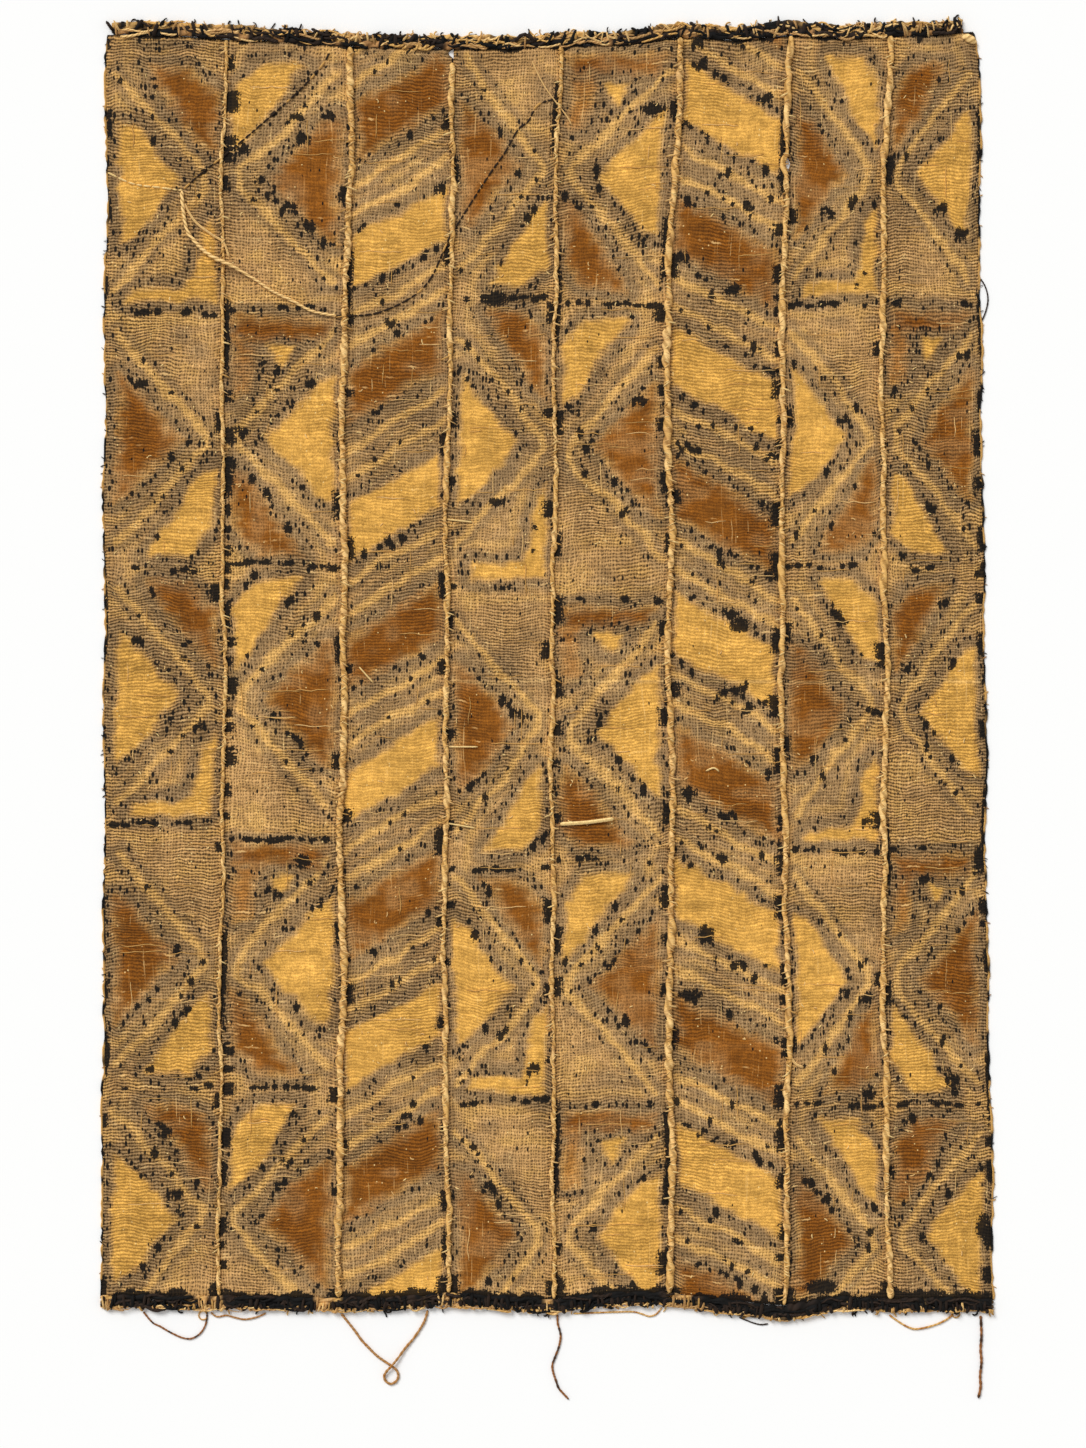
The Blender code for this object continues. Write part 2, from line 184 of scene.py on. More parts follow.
# Strips of triangles: the side they stand on, the first one's dye, the dyes over and under a
# full bar, what a half bar holds, whether the first bar is full, and the bars' heights in cm
ZIGZAG_COLUMNS = ("base", "first", "over", "under", "half_bar", "full_first", "bars")
ZIGZAGS = {
    1: ("left", "gold", "gold", "brown", "frame", True, (70.0, 40.4, 11.3, -18.2, -48.0)),
    2: ("right", "brown", "brown", "gold", "panel", True, (70.5, 40.5, 11.4, -19.5, -48.2)),
    4: ("left", "brown", "gold", "brown", "frame", False, (72.5, 41.9, 9.3, -22.8, -49.5)),
    5: ("right", "gold", "brown", "gold", "panel", False, (70.5, 41.3, 7.8, -22.3, -50.0)),
    7: ("left", "brown", "brown", "gold", "frame", True, (71.0, 41.4, 11.6, -20.9, -50.0)),
    8: ("right", "gold", "gold", "brown", "panel", True, (70.5, 41.4, 10.9, -20.9, -50.0)),
}

# Strips of slanted bands: the first band's dye and height, the pitch, how far a band rises
# from left to right, and half its height, in cm
BAND_COLUMNS = ("first", "top", "pitch", "rise", "half")
BANDS = {
    3: ("brown", 64.0, 15.15, 6.2, 3.0),
    6: ("gold", 62.3, 15.1, -6.4, 3.2),
}
BAND_LINES = (5.9, 9.2)

# How much solid mud is dabbed on each strip, how that varies from side to side of a shape,
# and how many of the dabs are clusters of strokes or teardrops
DABS = {1: 0.42, 2: 0.55, 3: 0.40, 4: 0.50, 5: 0.46, 6: 0.74, 7: 0.48, 8: 0.48}
SIDE_HEAVINESS = (0.08, 0.3, 0.6, 1.0)
CLUSTERED = 0.3
TEARDROPS = 0.22

# How far apart the dabs are along a shape's side, a thin line and a bar, how far outside a
# shape they lie, how far from a strip's sides they stay, and what a side has to lean by to
# have any, in mm
DAB_STEPS = {"side": 8.5, "line": 13.0, "bar": 10.0}
DAB_OUT = (3.0, 12.0)
DAB_MARGIN = 4.0
LEANING = 8.0

# The range of width and of height of each kind of dab, and how far apart strokes are
DAB_SIZES = {
    "stroke": ((2.2, 3.8), (6.0, 15.0)),
    "teardrop": ((4.5, 7.5), (9.0, 16.0)),
    "dot": ((2.4, 4.2), (3.5, 8.0)),
    "bar": ((4.0, 13.0), (4.0, 8.5)),
}
STROKE_STEP = 4.8

# The black beside the joints, partly mud and partly painted shadow along the joining yarns: the joint, the
# side of it, the share that is black and the width in mm. Joint 0 is the cloth's left side. A few
# stretches are long and narrow.
JOINT_COLUMNS = ("joint", "side", "share", "width")
JOINT_MUD_AND_SHADOW = (
    (0, 1, 0.30, 4.5), (1, 1, 0.50, 8.0), (1, -1, 0.06, 8.0), (2, -1, 0.14, 6.5),
    (2, 1, 0.12, 7.0), (3, -1, 0.18, 7.0), (3, 1, 0.10, 6.0), (4, -1, 0.14, 7.5),
    (4, 1, 0.30, 6.5), (5, -1, 0.28, 7.0), (5, 1, 0.08, 9.0), (6, -1, 0.40, 6.5),
    (6, 1, 0.08, 8.0), (7, -1, 0.05, 8.0), (7, 1, 0.10, 7.0), (8, -1, 0.46, 8.0),
)

JOINT_ENDS = (-725.0, 715.0)
LONG_SHARE = 0.12
LONG_STRETCH = (60.0, 120.0)
SHORT_STRETCH = (8.0, 34.0)

# The largest stains: a share of the strip's width, centimetres up, width and height in mm
STAIN_COLUMNS = ("strip", "across", "up", "width", "height")
STAINS = (
    (4, 0.43, 42.0, 32, 17), (2, 0.68, -22.2, 18, 16), (6, 0.31, -30.5, 17, 22),
    (6, 0.62, 4.8, 20, 17), (5, 0.78, 63.5, 25, 16), (2, 0.03, 21.3, 15, 46),
    (3, 0.97, -66.0, 10, 42), (8, 0.92, -63.8, 15, 30), (8, 0.95, -22.0, 15, 32),
    (1, 0.01, -44.0, 7, 58), (5, 0.03, -70.5, 14, 28), (7, 0.34, -70.6, 42, 15),
)

# Where the foot is blackened, as places along the strips, and over what it fades
FOOT_MUD = ((.1, .75), (1.02, 1.8), (2.0, 2.95), (3.1, 3.9), (3.97, 5.0), (5.2, 8.0))
FOOT_FADE = 0.05

# How deep the black is at the foot and at the head of each strip, and the least it can be; the black at
# the head is painted shadow under the top edge yarn, with some mud
FOOT_DEEP = (6.4, 0.8)
HEAD_SHADOW_AND_MUD_DEEP = (2.2, 0.6)

# The rolls in each edge yarn: how far out from its middle line, thickness, three colours and
# the run of one turn. Then how many twisted bundles and frayed ends lie over them, and how
# uneven the rolls are.
ROLL_COLUMNS = ("out", "thick", "colours", "lay")
EDGE_ROLLS = {
    "top": (
        (-5.0, 4.3, ("mud", "dark", "thread"), 34.0),
        (3.0, 3.3, ("line", "dark", "mud"), 27.0),
        (-0.6, 3.3, ("dark", "line", "mud"), 41.0),
    ),
    "foot": (
        (-6.2, 4.0, ("mud", "mud", "dark"), 34.0),
        (3.6, 2.8, ("tan", "mud", "line"), 27.0),
        (-1.0, 3.9, ("mud", "mud", "dark"), 41.0),
    ),
}
EDGE_BUNDLES = {"top": 210, "foot": 190}
EDGE_ENDS = {"top": 110, "foot": 55}
EDGE_ROUGH = {"top": 0.25, "foot": 0.38}
EDGE_SEEDS = {"top": 200, "foot": 201}

# Small rings of yarn below the foot: right, up and half their width. Then the tuft at the
# top right corner.
FOOT_RINGS = ((-392.0, -739.0, 5.0), (466.0, -737.0, 4.5))
TUFT = ((472.0, 719.0), (480.0, 715.5), (489.0, 711.0))

# The joining yarns: half their width and how far one turn of their strands runs
SEAM_COLUMNS = ("joint", "half", "lay")
SEAM_YARNS = (
    (1, 2.4, 24.0), (2, 4.2, 17.0), (3, 3.3, 27.0), (4, 2.8, 19.0),
    (5, 4.1, 24.0), (6, 3.8, 38.0), (7, 3.6, 26.0),
)

# How many barbs each outer side has, and stray yarns and short curls the face has
BARBS = 90
STRAY_YARNS = 380
CURLS = 420

# The mending cord and the loose threads: the diameter, then the route's points as right,
# up and the height of the cord's underside over the floor, where it lies above it
PINCHED = 0.55
CURVE_STEPS = 16
THREAD_LIFT = 0.1
MENDING_DIAMETER = 5.0
MENDING_ROUTE = (
    (-416.0, 541.5, 2.9), (-414.0, 518.5, 2.9), (-410.0, 497.5, 2.9), (-403.5, 487.5, 3.0),
    (-392.0, 475.0, 4.2), (-380.5, 466.5, 6.9), (-369.0, 461.0, 7.4), (-358.0, 456.0, 6.9),
    (-345.0, 448.5, 4.2), (-330.0, 439.5, 2.9), (-313.0, 428.0, 2.9), (-289.5, 416.5, 2.9),
    (-268.5, 405.5, 2.9), (-247.5, 401.0, 2.9), (-240.0, 400.0, 2.9),
)
THREAD_COLUMNS = ("name", "diameter", "far_end", "colour", "route")
THREADS = (
    ("thread_1", 2.0, "object", "umber", (
        (-460.0, -735.0), (-454.0, -742.5), (-448.5, -748.0), (-441.0, -751.5), (-433.5, -756.0),
        (-425.0, -760.5), (-415.5, -764.5), (-406.0, -765.5), (-397.0, -761.0), (-391.0, -753.5),
        (-388.0, -744.5), (-387.5, -735.0),
    )),
    ("thread_2", 2.0, "object", "thread", (
        (-383.0, -735.8), (-376.0, -740.5), (-365.5, -739.0), (-355.5, -741.5), (-344.5, -743.5),
        (-331.0, -741.0), (-320.5, -736.4),
    )),
    ("thread_3", 2.8, "object", "thread", (
        (-234.5, -737.0), (-226.5, -747.0), (-219.0, -756.5), (-211.5, -767.0), (-203.0, -776.0),
        (-195.0, -784.0), (-187.0, -790.0), (-178.0, -796.0), (-171.5, -801.5), (-169.5, -808.0),
        (-172.0, -814.0), (-178.0, -817.0), (-183.5, -814.0, 0.3), (-185.5, -808.0, 1.4),
        (-182.5, -802.0, 2.9), (-177.0, -796.0, 3.6), (-170.0, -787.5, 2.6), (-161.5, -776.0, 0.8),
        (-152.0, -765.0), (-144.5, -754.0), (-139.5, -745.0), (-136.0, -733.2),
    )),
    ("thread_4", 2.4, "bare", "umber", (
        (12.0, -738.2), (12.0, -747.5), (14.0, -755.0), (15.5, -763.0), (13.5, -774.5),
        (9.5, -785.5), (6.0, -795.5), (7.0, -804.0), (10.0, -813.0), (13.0, -821.5),
        (18.5, -828.0), (24.5, -834.5),
    )),
    ("thread_5", 1.8, "object", "line", (
        (30.0, -736.8), (42.5, -736.6), (54.5, -736.0), (67.5, -735.5), (85.5, -735.0),
        (99.0, -735.0), (108.5, -737.5), (116.5, -740.0), (124.5, -737.5), (131.0, -729.8),
    )),
    ("thread_6", 1.6, "object", "dark", (
        (219.0, -741.2), (227.0, -744.5), (235.0, -747.5), (243.5, -749.5), (252.0, -748.6),
    )),
    ("thread_7", 2.2, "object", "line", (
        (390.0, -738.5), (402.0, -747.0), (412.0, -752.5), (421.5, -754.5), (438.5, -751.0),
        (453.0, -745.0), (463.0, -737.7),
    )),
    ("thread_8", 3.0, "bare", "umber", (
        (494.0, -739.3), (495.0, -761.0), (494.0, -777.5), (495.0, -791.5), (493.5, -808.0),
        (494.0, -820.0), (491.5, -833.0),
    )),
    ("thread_9", 1.6, "object", "dark", (
        (494.0, 442.5), (498.5, 435.5), (501.5, 427.0), (502.5, 419.0), (501.5, 411.0),
        (499.0, 402.5), (495.5, 394.5),
    )),
)

# Sewing threads that run through the face: colour, then points as right and up. Then their
# radius, and how much of each keeps its own colour.
FACE_RADIUS = 1.1
FACE_OWN_COLOUR = 0.92
FACE_THREADS = (
    ("dark", ((-245, 705.5), (-256.5, 685), (-282.5, 656.5), (-318, 624.5), (-355.5, 592.5),
              (-393, 563), (-415, 543.5))),
    ("cream", ((-500, 563), (-472, 550.5), (-440, 546), (-415, 542.5))),
    ("dark", ((-241.5, 400), (-219, 400), (-189, 404.5), (-153, 422), (-132, 443.5),
              (-115, 481), (-103.5, 501.5), (-80, 539), (-62.5, 565.5), (-48, 586),
              (-33, 612), (-21.5, 621.5), (-10, 640.5), (13.5, 647.5))),
)

# Short stitches: colour, points and radius
SHORT_STITCHES = (
    ("cream", ((-113, -91), (-79, -91)), 0.9), ("cream", ((-114, -178), (-82, -183.5)), 0.9),
    ("cream", ((15, -179), (45, -177), (76, -173)), 2.1), ("cream", ((-114, 168), (-85, 165)), 0.9),
    ("cream", ((181, -118.5), (190, -115), (196, -119)), 1.0),
    ("pale", ((275, -440), (283, -452), (292, -456)), 1.5),
    ("cream", ((-214, 0), (-198, -18)), 0.9),
    ("pale", ((-413, 528), (-406.5, 515.5), (-397.5, 504), (-380.5, 491.5), (-368.5, 483.5),
              (-362, 466.5)), 1.4),
    ("pale", ((-17, 690), (-2, 660), (22, 628), (28, 617)), 0.8),
)


def linear(name):
    """A named colour as linear light."""
    shown = np.array(COLOURS[name]) / 255.0
    return np.where(shown <= 0.04045, shown / 12.92, ((shown + 0.055) / 1.055) ** 2.4)


def named(columns, table):
    """A table's rows, each with its values by column."""
    return [dict(zip(columns, row)) for row in table]


def rounded(low, high, value):
    """From 0 at low to 1 at high, eased at both ends."""
    t = np.clip((value - low) / (high - low), 0.0, 1.0)
    return t * t * (3.0 - 2.0 * t)


def soft_noise(x, y, seed):
    """Smooth unevenness from -1 to 1, with one lump to a unit."""
    size = 64
    table = np.random.default_rng(seed).uniform(-1.0, 1.0, (size, size))
    column, row = np.floor(x).astype(int), np.floor(y).astype(int)
    right, up = x - column, y - row
    right, up = right * right * (3 - 2 * right), up * up * (3 - 2 * up)
    corner = [[table[(column + i) % size, (row + j) % size] for j in (0, 1)] for i in (0, 1)]
    low = corner[0][0] + right * (corner[1][0] - corner[0][0])
    high = corner[0][1] + right * (corner[1][1] - corner[0][1])
    return low + up * (high - low)


def uneven(along, row, seed):
    """Smooth unevenness from -1 to 1 along a line, its own for each row."""
    return soft_noise(along, np.zeros_like(along, float) + row, seed)


def curve_point(before, start, end, after, t):
    """A point at share t of the smooth curve from start to end."""
    return 0.5 * (
        2.0 * start
        + (end - before) * t
        + (2.0 * before - 5.0 * start + 4.0 * end - after) * t * t
        + (3.0 * start - before - 3.0 * end + after) * t * t * t
    )


def between(table, columns, key, name, at, smooth=False):
    """Read a table's named column at values of its key column."""
    keys = np.array([row[columns.index(key)] for row in table], float)
    values = np.array([row[columns.index(name)] for row in table], float)
    at = np.clip(at, keys[0], keys[-1])
    if not smooth:
        return np.interp(at, keys, values)
    i = np.clip(np.searchsorted(keys, at, side="right") - 1, 0, len(keys) - 2)
    t = (at - keys[i]) / (keys[i + 1] - keys[i])
    before, after = values[np.maximum(i - 1, 0)], values[np.minimum(i + 2, len(keys) - 1)]
    return curve_point(before, values[i], values[i + 1], after, t)


def edge(place, name):
    """An edge yarn's middle line or its lump at a place."""
    return between(EDGES, EDGE_COLUMNS, "place", name, place)


def end_height(place, up):
    """Where a strip ends under the edge yarn: up is 1 for the top and -1 for the foot."""
    return edge(place, "top" if up > 0 else "foot") - up * (EDGE_HALF + GAP)


def line(place, height):
    """Where a side or a joint runs, at a whole place from 0 to 8."""
    height = np.asarray(height, float)
    x = between(LINES, LINE_COLUMNS, "height", LINE_COLUMNS[place + 1], height, smooth=True)
    for tall, run, shift in SIDE_WAVES:
        x = x + tall * np.sin(height / run + shift * place)
    drop, inset = CORNERS.get(place, (1.0, 0.0))
    t = np.clip((height - edge(place, "top") + drop) / drop, 0.0, 1.0)
    return x + inset * (1.0 - np.sqrt(1.0 - t * t)) * (1.0 if place == 0 else -1.0)


def opened(joint, side, height):
    """How far a strip has drawn back from its joint at a slit."""
    back = np.zeros_like(height)
    for slit in named(SLIT_COLUMNS, SLITS):
        if (slit["joint"], slit["side"]) == (joint, side):
            t = np.abs(height - slit["middle"]) / slit["half"]
            back += np.where(t < 1.0, slit["width"] * 0.5 * (1.0 + np.cos(np.pi * t)), 0.0)
    return back


def sides(strip, height):
    """Where a strip's left and right sides run."""
    left = line(strip - 1, height)
    right = line(strip, height)
    if strip > 1:
        left = left + GAP / 2 + opened(strip - 1, "right", height)
    if strip < STRIPS:
        right = right - GAP / 2 - opened(strip, "left", height)
    return left, right


def depth_in(x, y, corners):
    """How far each point is inside a closed shape, in mm; outside is negative."""
    inside = np.zeros(x.shape, bool)
    near = np.full(x.shape, FAR)
    for (ax, ay), (bx, by) in zip(corners, corners[1:] + corners[:1]):
        near = np.minimum(near, from_stretch(x, y, ax, ay, bx, by))
        crosses = (ay > y) != (by > y)
        rise = by - ay if by != ay else 1 / FAR
        inside ^= crosses & (x < ax + (y - ay) * (bx - ax) / rise)
    return np.where(inside, near, -near)


def from_stretch(x, y, ax, ay, bx, by):
    """Distance from each point to a straight stretch."""
    run = (bx - ax) ** 2 + (by - ay) ** 2
    t = np.clip(((x - ax) * (bx - ax) + (y - ay) * (by - ay)) / run, 0.0, 1.0)
    return np.hypot(x - ax - t * (bx - ax), y - ay - t * (by - ay))


def mixed(colour, over, share):
    """A colour with a share of another laid over it at each point."""
    return colour + (over - colour) * share[..., None]


def placed(chart, height, base, chance, turn=1.0):
    """A charted shape at a height in cm, a little uneven, in mm over its strip."""
    points = []
    for share, up in chart:
        across = (share if base == "left" else 1.0 - share) * CHART_WIDE
        points.append((across + chance.uniform(-2.5, 2.5),
                       (height + turn * up) * CM + chance.uniform(-4.0, 4.0)))
    return tuple(points)


def zigzag_pattern(strip, chance):
    """Triangles on one side, with full and half bars between them on the other."""
    row = dict(zip(ZIGZAG_COLUMNS, ZIGZAGS[strip]))
    base, bars, full = row["base"], row["bars"], row["full_first"]
    dyes = ("gold", "brown") if row["first"] == "gold" else ("brown", "gold")
    pitch = (bars[0] - bars[-1]) / (len(bars) - 1)
    shapes, lines, painted_bars = [], [], []
    for n, bar in enumerate(bars):
        below = bars[n + 1] if n + 1 < len(bars) else bar - pitch
        middle = (bar + below) / 2
        shapes.append((dyes[n % 2], placed(TRIANGLE, middle, base, chance)))
        lines.append(placed(CHEVRON, middle, base, chance))
        if n > 0:
            painted_bars.append(placed(BAR, bar, base, chance))
        if full:
            shapes.append((row["over"], placed(WING, bar, base, chance)))
            shapes.append((row["under"], placed(WING, bar, base, chance, -1.0)))
        elif row["half_bar"] == "frame":
            shapes.append(("gold", placed(FRAME, bar, base, chance)))
        else:
            shapes.append(("brown", placed(PANEL, bar, base, chance)))
            shapes.append(("rust", placed(LEG, bar, base, chance)))
            shapes.append(("gold", placed(SPOT, bar, base, chance)))
        full = not full
    return shapes, lines, painted_bars


def band_pattern(strip, chance):
    """Slanted bands, gold and brown in turn, with two thin lines in each gap."""
    row = dict(zip(BAND_COLUMNS, BANDS[strip]))
    dyes = ("gold", "brown") if row["first"] == "gold" else ("brown", "gold")
    rise, half = row["rise"] / 2, row["half"]
    band = ((.05, half - rise), (.93, half + rise), (.93, rise - half), (.05, -half - rise))
    shapes, lines = [], []
    for n in range(-1, 10):
        height = row["top"] - n * row["pitch"]
        shapes.append((dyes[n % 2], placed(band, height, "left", chance)))
        for drop in BAND_LINES:
            thin = ((.04, -drop - rise), (.5, -drop), (.95, -drop + rise))
            lines.append(placed(thin, height, "left", chance))
    return shapes, lines, ()


def pattern(strip):
    """The strip's dyed shapes, its thin lines, and the bars that mud is dabbed along."""
    chance = np.random.default_rng(600 + strip)
    return zigzag_pattern(strip, chance) if strip in ZIGZAGS else band_pattern(strip, chance)


def walk(points, step, chance):
    """Uneven places along a broken line."""
    for start, end in zip(points, points[1:]):
        start, end = np.array(start), np.array(end)
        run = math.dist(start, end)
        at = chance.uniform(0.0, step)
        while at < run:
            yield start + (end - start) * at / run
            at += step * chance.uniform(0.6, 1.5)


def slanted_sides(corners):
    """The sides of a shape that lean, which are the ones that mud is dabbed beside."""
    for start, end in zip(corners, corners[1:] + corners[:1]):
        if abs(end[0] - start[0]) > LEANING and abs(end[1] - start[1]) > LEANING:
            yield start, end


def dab(kind, spot, chance):
    """One dab of mud: right, up, width and height in mm."""
    return (*spot, *(chance.uniform(*limits) for limits in DAB_SIZES[kind]))


def dabs_at(spot, likely, clustered, chance):
    """The mud at one spot: none, a cluster of strokes, a teardrop or a dot."""
    if chance.random() > likely or not DAB_MARGIN < spot[0] < CHART_WIDE - DAB_MARGIN:
        return []
    if chance.random() < clustered:
        return [dab("stroke", (spot[0] + STROKE_STEP * n, spot[1] + chance.uniform(-4.0, 4.0)), chance)
                for n in range(chance.integers(2, 5))]
    return [dab("teardrop" if chance.random() < TEARDROPS else "dot", spot, chance)]


def dabs(strip):
    """Solid dabs of mud beside the shapes, along the thin lines and bars, and the stains."""
    chance = np.random.default_rng(650 + strip)
    shapes, lines, bars = pattern(strip)
    share = DABS[strip]
    clustered = CLUSTERED * share
    made = []
    for _, corners in shapes:
        middle = np.mean(corners, axis=0)
        for side in slanted_sides(corners):
            likely = share * SIDE_HEAVINESS[chance.integers(len(SIDE_HEAVINESS))]
            for spot in walk(side, DAB_STEPS["side"], chance):
                away = spot - middle
                out = chance.uniform(*DAB_OUT) / max(np.hypot(*away), 1.0)
                made += dabs_at(spot + away * out, likely, clustered, chance)
    for points in lines:
        for spot in walk(points, DAB_STEPS["line"], chance):
            made += dabs_at(spot + chance.uniform(-4.0, 4.0, 2), 0.35 * share, clustered, chance)
    for bar in bars:
        likely = share * chance.uniform(0.5, 1.7)
        for spot in walk(bar, DAB_STEPS["bar"], chance):
            if chance.random() < likely:
                made.append(dab("bar", (spot[0], spot[1] + chance.uniform(-2.0, 2.0)), chance))
    for stain in named(STAIN_COLUMNS, STAINS):
        if stain["strip"] == strip:
            made.append((stain["across"] * CHART_WIDE, stain["up"] * CM, stain["width"], stain["height"]))
    return made


def joint_stretches(joint, side, share, width):
    """Stretches of black beside a joint, mud and painted shadow: middle, half the length, and width, in
    mm.
    """
    chance = np.random.default_rng(700 + 10 * joint + side)
    up, made = JOINT_ENDS[0], []
    while up < JOINT_ENDS[1]:
        narrow = chance.random() < LONG_SHARE
        long = chance.uniform(*(LONG_STRETCH if narrow else SHORT_STRETCH))
        made.append((up + long / 2, long / 2, width * (0.5 if narrow else chance.uniform(0.5, 1.5))))
        up += long + long * (1.0 - share) / share * chance.uniform(0.4, 1.6)
    return made


def undyed(broad, patchy, fine):
    """The bare cloth's colour: tan, greyer and paler in patches."""
    colour = mixed(linear("tan"), linear("grey"), 0.7 * rounded(-0.1, 0.9, patchy * 0.7 + broad * 0.5))
    return mixed(colour, linear("line"), 0.8 * rounded(-0.1, 0.8, fine * 0.4 - patchy * 0.8))


def from_lines(u, v, thin_lines):
    """Distance from each point to the nearest thin line."""
    near = np.full(u.shape, FAR)
    for points in thin_lines:
        for start, end in zip(points, points[1:]):
            near = np.minimum(near, from_stretch(u, v, *start, *end))
    return near


def dyed_over(colour, openness, dye, depth, patchy, fine):
    """The colour and the openness once one shape is dyed over them."""
    if dye == "gold":
        cover = rounded(-3.6, 3.8, depth + 1.5 * fine)
    else:
        strong = 0.97 if dye == "brown" else 0.8
        worn = 0.34 * rounded(0.1, 0.8, patchy)
        cover = rounded(-8.0, 11.0, depth + 4.0 * fine) * (strong - worn)
    shade = linear(dye) * (1.0 + 0.16 * patchy + 0.12 * fine)[..., None]
    closing = 0.92 if dye == "gold" else 0.6
    return mixed(colour, shade, cover), openness * (1.0 - closing * cover)


def dye_strip(strip, across, x, y):
    """The dyed colour with a painted highlight along a fold, and the openness, mud and strength of the
    painted rib shade of the weave, at each point.
    """
    dyed, thin_lines, _ = pattern(strip)
    u = across * CHART_WIDE
    u = u + 3.4 * soft_noise(x / 19, y / 17, 31) + 1.7 * soft_noise(x / 6, y / 5, 32)
    v = y + 3.4 * soft_noise(x / 17, y / 19, 33) + 1.5 * soft_noise(x / 6, y / 6, 34)
    broad = soft_noise(x / 60, y / 70, 35)
    patchy = soft_noise(x / 22, y / 18, 36)
    fine = soft_noise(x / 7, y / 6, 37)
    colour = undyed(broad, patchy, fine)
    from_line = from_lines(u, v, thin_lines)
    depths = [depth_in(u, v, corners) for _, corners in dyed]
    beside = np.max([rounded(-20.0, -11.0, depth) * rounded(0.0, -6.0, depth) for depth in depths], axis=0)
    outside = np.clip(-np.max(depths, axis=0), 0.0, None)
    rim = rounded(18.0, 23.0, outside) * rounded(31.0, 25.0, outside)
    colour = mixed(colour, linear("line"), 0.5 * rim)
    thin = rounded(5.0, 1.4, from_line) * rounded(1.0, 6.0, outside)
    halo = rounded(17.0, 9.0, from_line) * rounded(3.0, 7.0, from_line)
    greyed = np.maximum(beside, 0.75 * halo)
    colour = mixed(colour, linear("grey"), 0.85 * greyed)
    colour = mixed(colour, linear("line") * 1.06, 0.92 * thin)
    openness = 1.0 - 0.35 * thin
    for (dye, _), depth in zip(dyed, depths):
        colour, openness = dyed_over(colour, openness, dye, depth, patchy, fine)
    # A painted highlight along a fold across the strips, mixed towards pale.
    fold_highlight = np.exp(-(((y - FOLD_HIGHLIGHT_HEIGHT + 3.0 * broad) / 1.8) ** 2)) * (strip >= FOLD_HIGHLIGHT_FROM)
    colour = mixed(colour, linear("pale"), 0.35 * fold_highlight)
    mud = 0.15 + 0.66 * greyed + 0.2 * soft_noise(x / 25, y / 25, 38)
    mud = mud * (0.08 + 0.92 * openness)
    # How strong the painted shade in the rib valleys is: more in patches, near the strips' sides and on
    # the outer strips.
    ribs = 0.5 + 0.7 * soft_noise(x / 48, y / 55, 39)
    ribs = ribs + 0.4 * rounded(0.80, 0.98, np.abs(2 * across - 1))
    ribs = ribs + (OUTER_RIB_SHADE if strip in (1, STRIPS) else 0.0)
    weave = np.stack([openness, np.maximum(mud, 0.0), np.clip(ribs, 0, 1)], axis=-1)
    return colour, weave, solid_mud_and_shadow(strip, across * CHART_WIDE, y)


def solid_mud_and_shadow(strip, u, y):
    """From 0 outside the solid mud and painted shadow to 1 well inside it."""
    solid = np.zeros(y.shape)
    hidden = {row["joint"]: row["half"] + 1.2 for row in named(SEAM_COLUMNS, SEAM_YARNS)}
    for right, up, width, tall in dabs(strip):
        reach = np.hypot((u - right) / (width / 2 + 1.2), (y - up) / (tall / 2 + 1.0))
        solid = np.maximum(solid, 1.5 - reach)
    # Black beside the joints: mud, and painted shadow along the joining yarns.
    for row in named(JOINT_COLUMNS, JOINT_MUD_AND_SHADOW):
        joint, side = row["joint"], row["side"]
        if (joint, side) not in ((strip - 1, 1), (strip, -1)):
            continue
        inward = u if side == 1 else CHART_WIDE - u
        for middle, half, reach_in in joint_stretches(joint, side, row["share"], row["width"]):
            inward_share = inward / (reach_in + hidden.get(joint, 0.5))
            reach = np.maximum(inward_share, (np.abs(y - middle) / half) ** 2)
            solid = np.maximum(solid, 1.5 - reach)
    place = strip - 1 + u / CHART_WIDE
    from_foot, from_head = y - end_height(place, -1), end_height(place, 1) - y
    deep, least = FOOT_DEEP
    ragged = 4.0 * soft_noise(u / 4 + 9 * strip, y / 9, 41) + 4.8 * uneven(u / 14, strip, 42)
    bare = 1.5 * (1.0 - foot_mud(place))
    solid = np.maximum(solid, 1.5 - from_foot / np.maximum(deep + ragged, least) - bare)
    # The black at the head: painted shadow under the top edge yarn, with some mud.
    deep, least = HEAD_SHADOW_AND_MUD_DEEP
    ragged = 2.5 * soft_noise(u / 5 + 7 * strip, y / 9, 43) + 4.5 * uneven(u / 21, strip, 44)
    return np.maximum(solid, 1.4 - from_head / np.maximum(deep + ragged, least))


def foot_mud(place):
    """1 where the foot is blackened and 0 where it isn't."""
    shares = [rounded(low - FOOT_FADE, low + FOOT_FADE, place)
              * rounded(high + FOOT_FADE, high - FOOT_FADE, place) for low, high in FOOT_MUD]
    return np.max(shares, axis=0)


def new_object(name, data):
    """An object in the scene from its data."""
    made = bpy.data.objects.new(name, data)
    bpy.context.scene.collection.objects.link(made)
    return made


def add_mesh(name, points, faces, material, attributes):
    """A smooth mesh from points in mm, with values stored at its points."""
    mesh = bpy.data.meshes.new(name)
    mesh.from_pydata((np.asarray(points) * MM).tolist(), [], faces)
    for label, values in attributes.items():
        kind, field = ("FLOAT_COLOR", "color") if values.shape[1] == 4 else ("FLOAT_VECTOR", "vector")
        layer = mesh.attributes.new(label, kind, "POINT")
        layer.data.foreach_set(field, values.astype(np.float32).ravel())
    mesh.materials.append(material)
    mesh.shade_smooth()
    return new_object(name, mesh)


def with_alpha(colour, alpha):
    """Three values and a fourth at each point."""
    return np.concatenate([colour, np.broadcast_to(alpha, colour.shape[:-1])[..., None]], axis=-1)


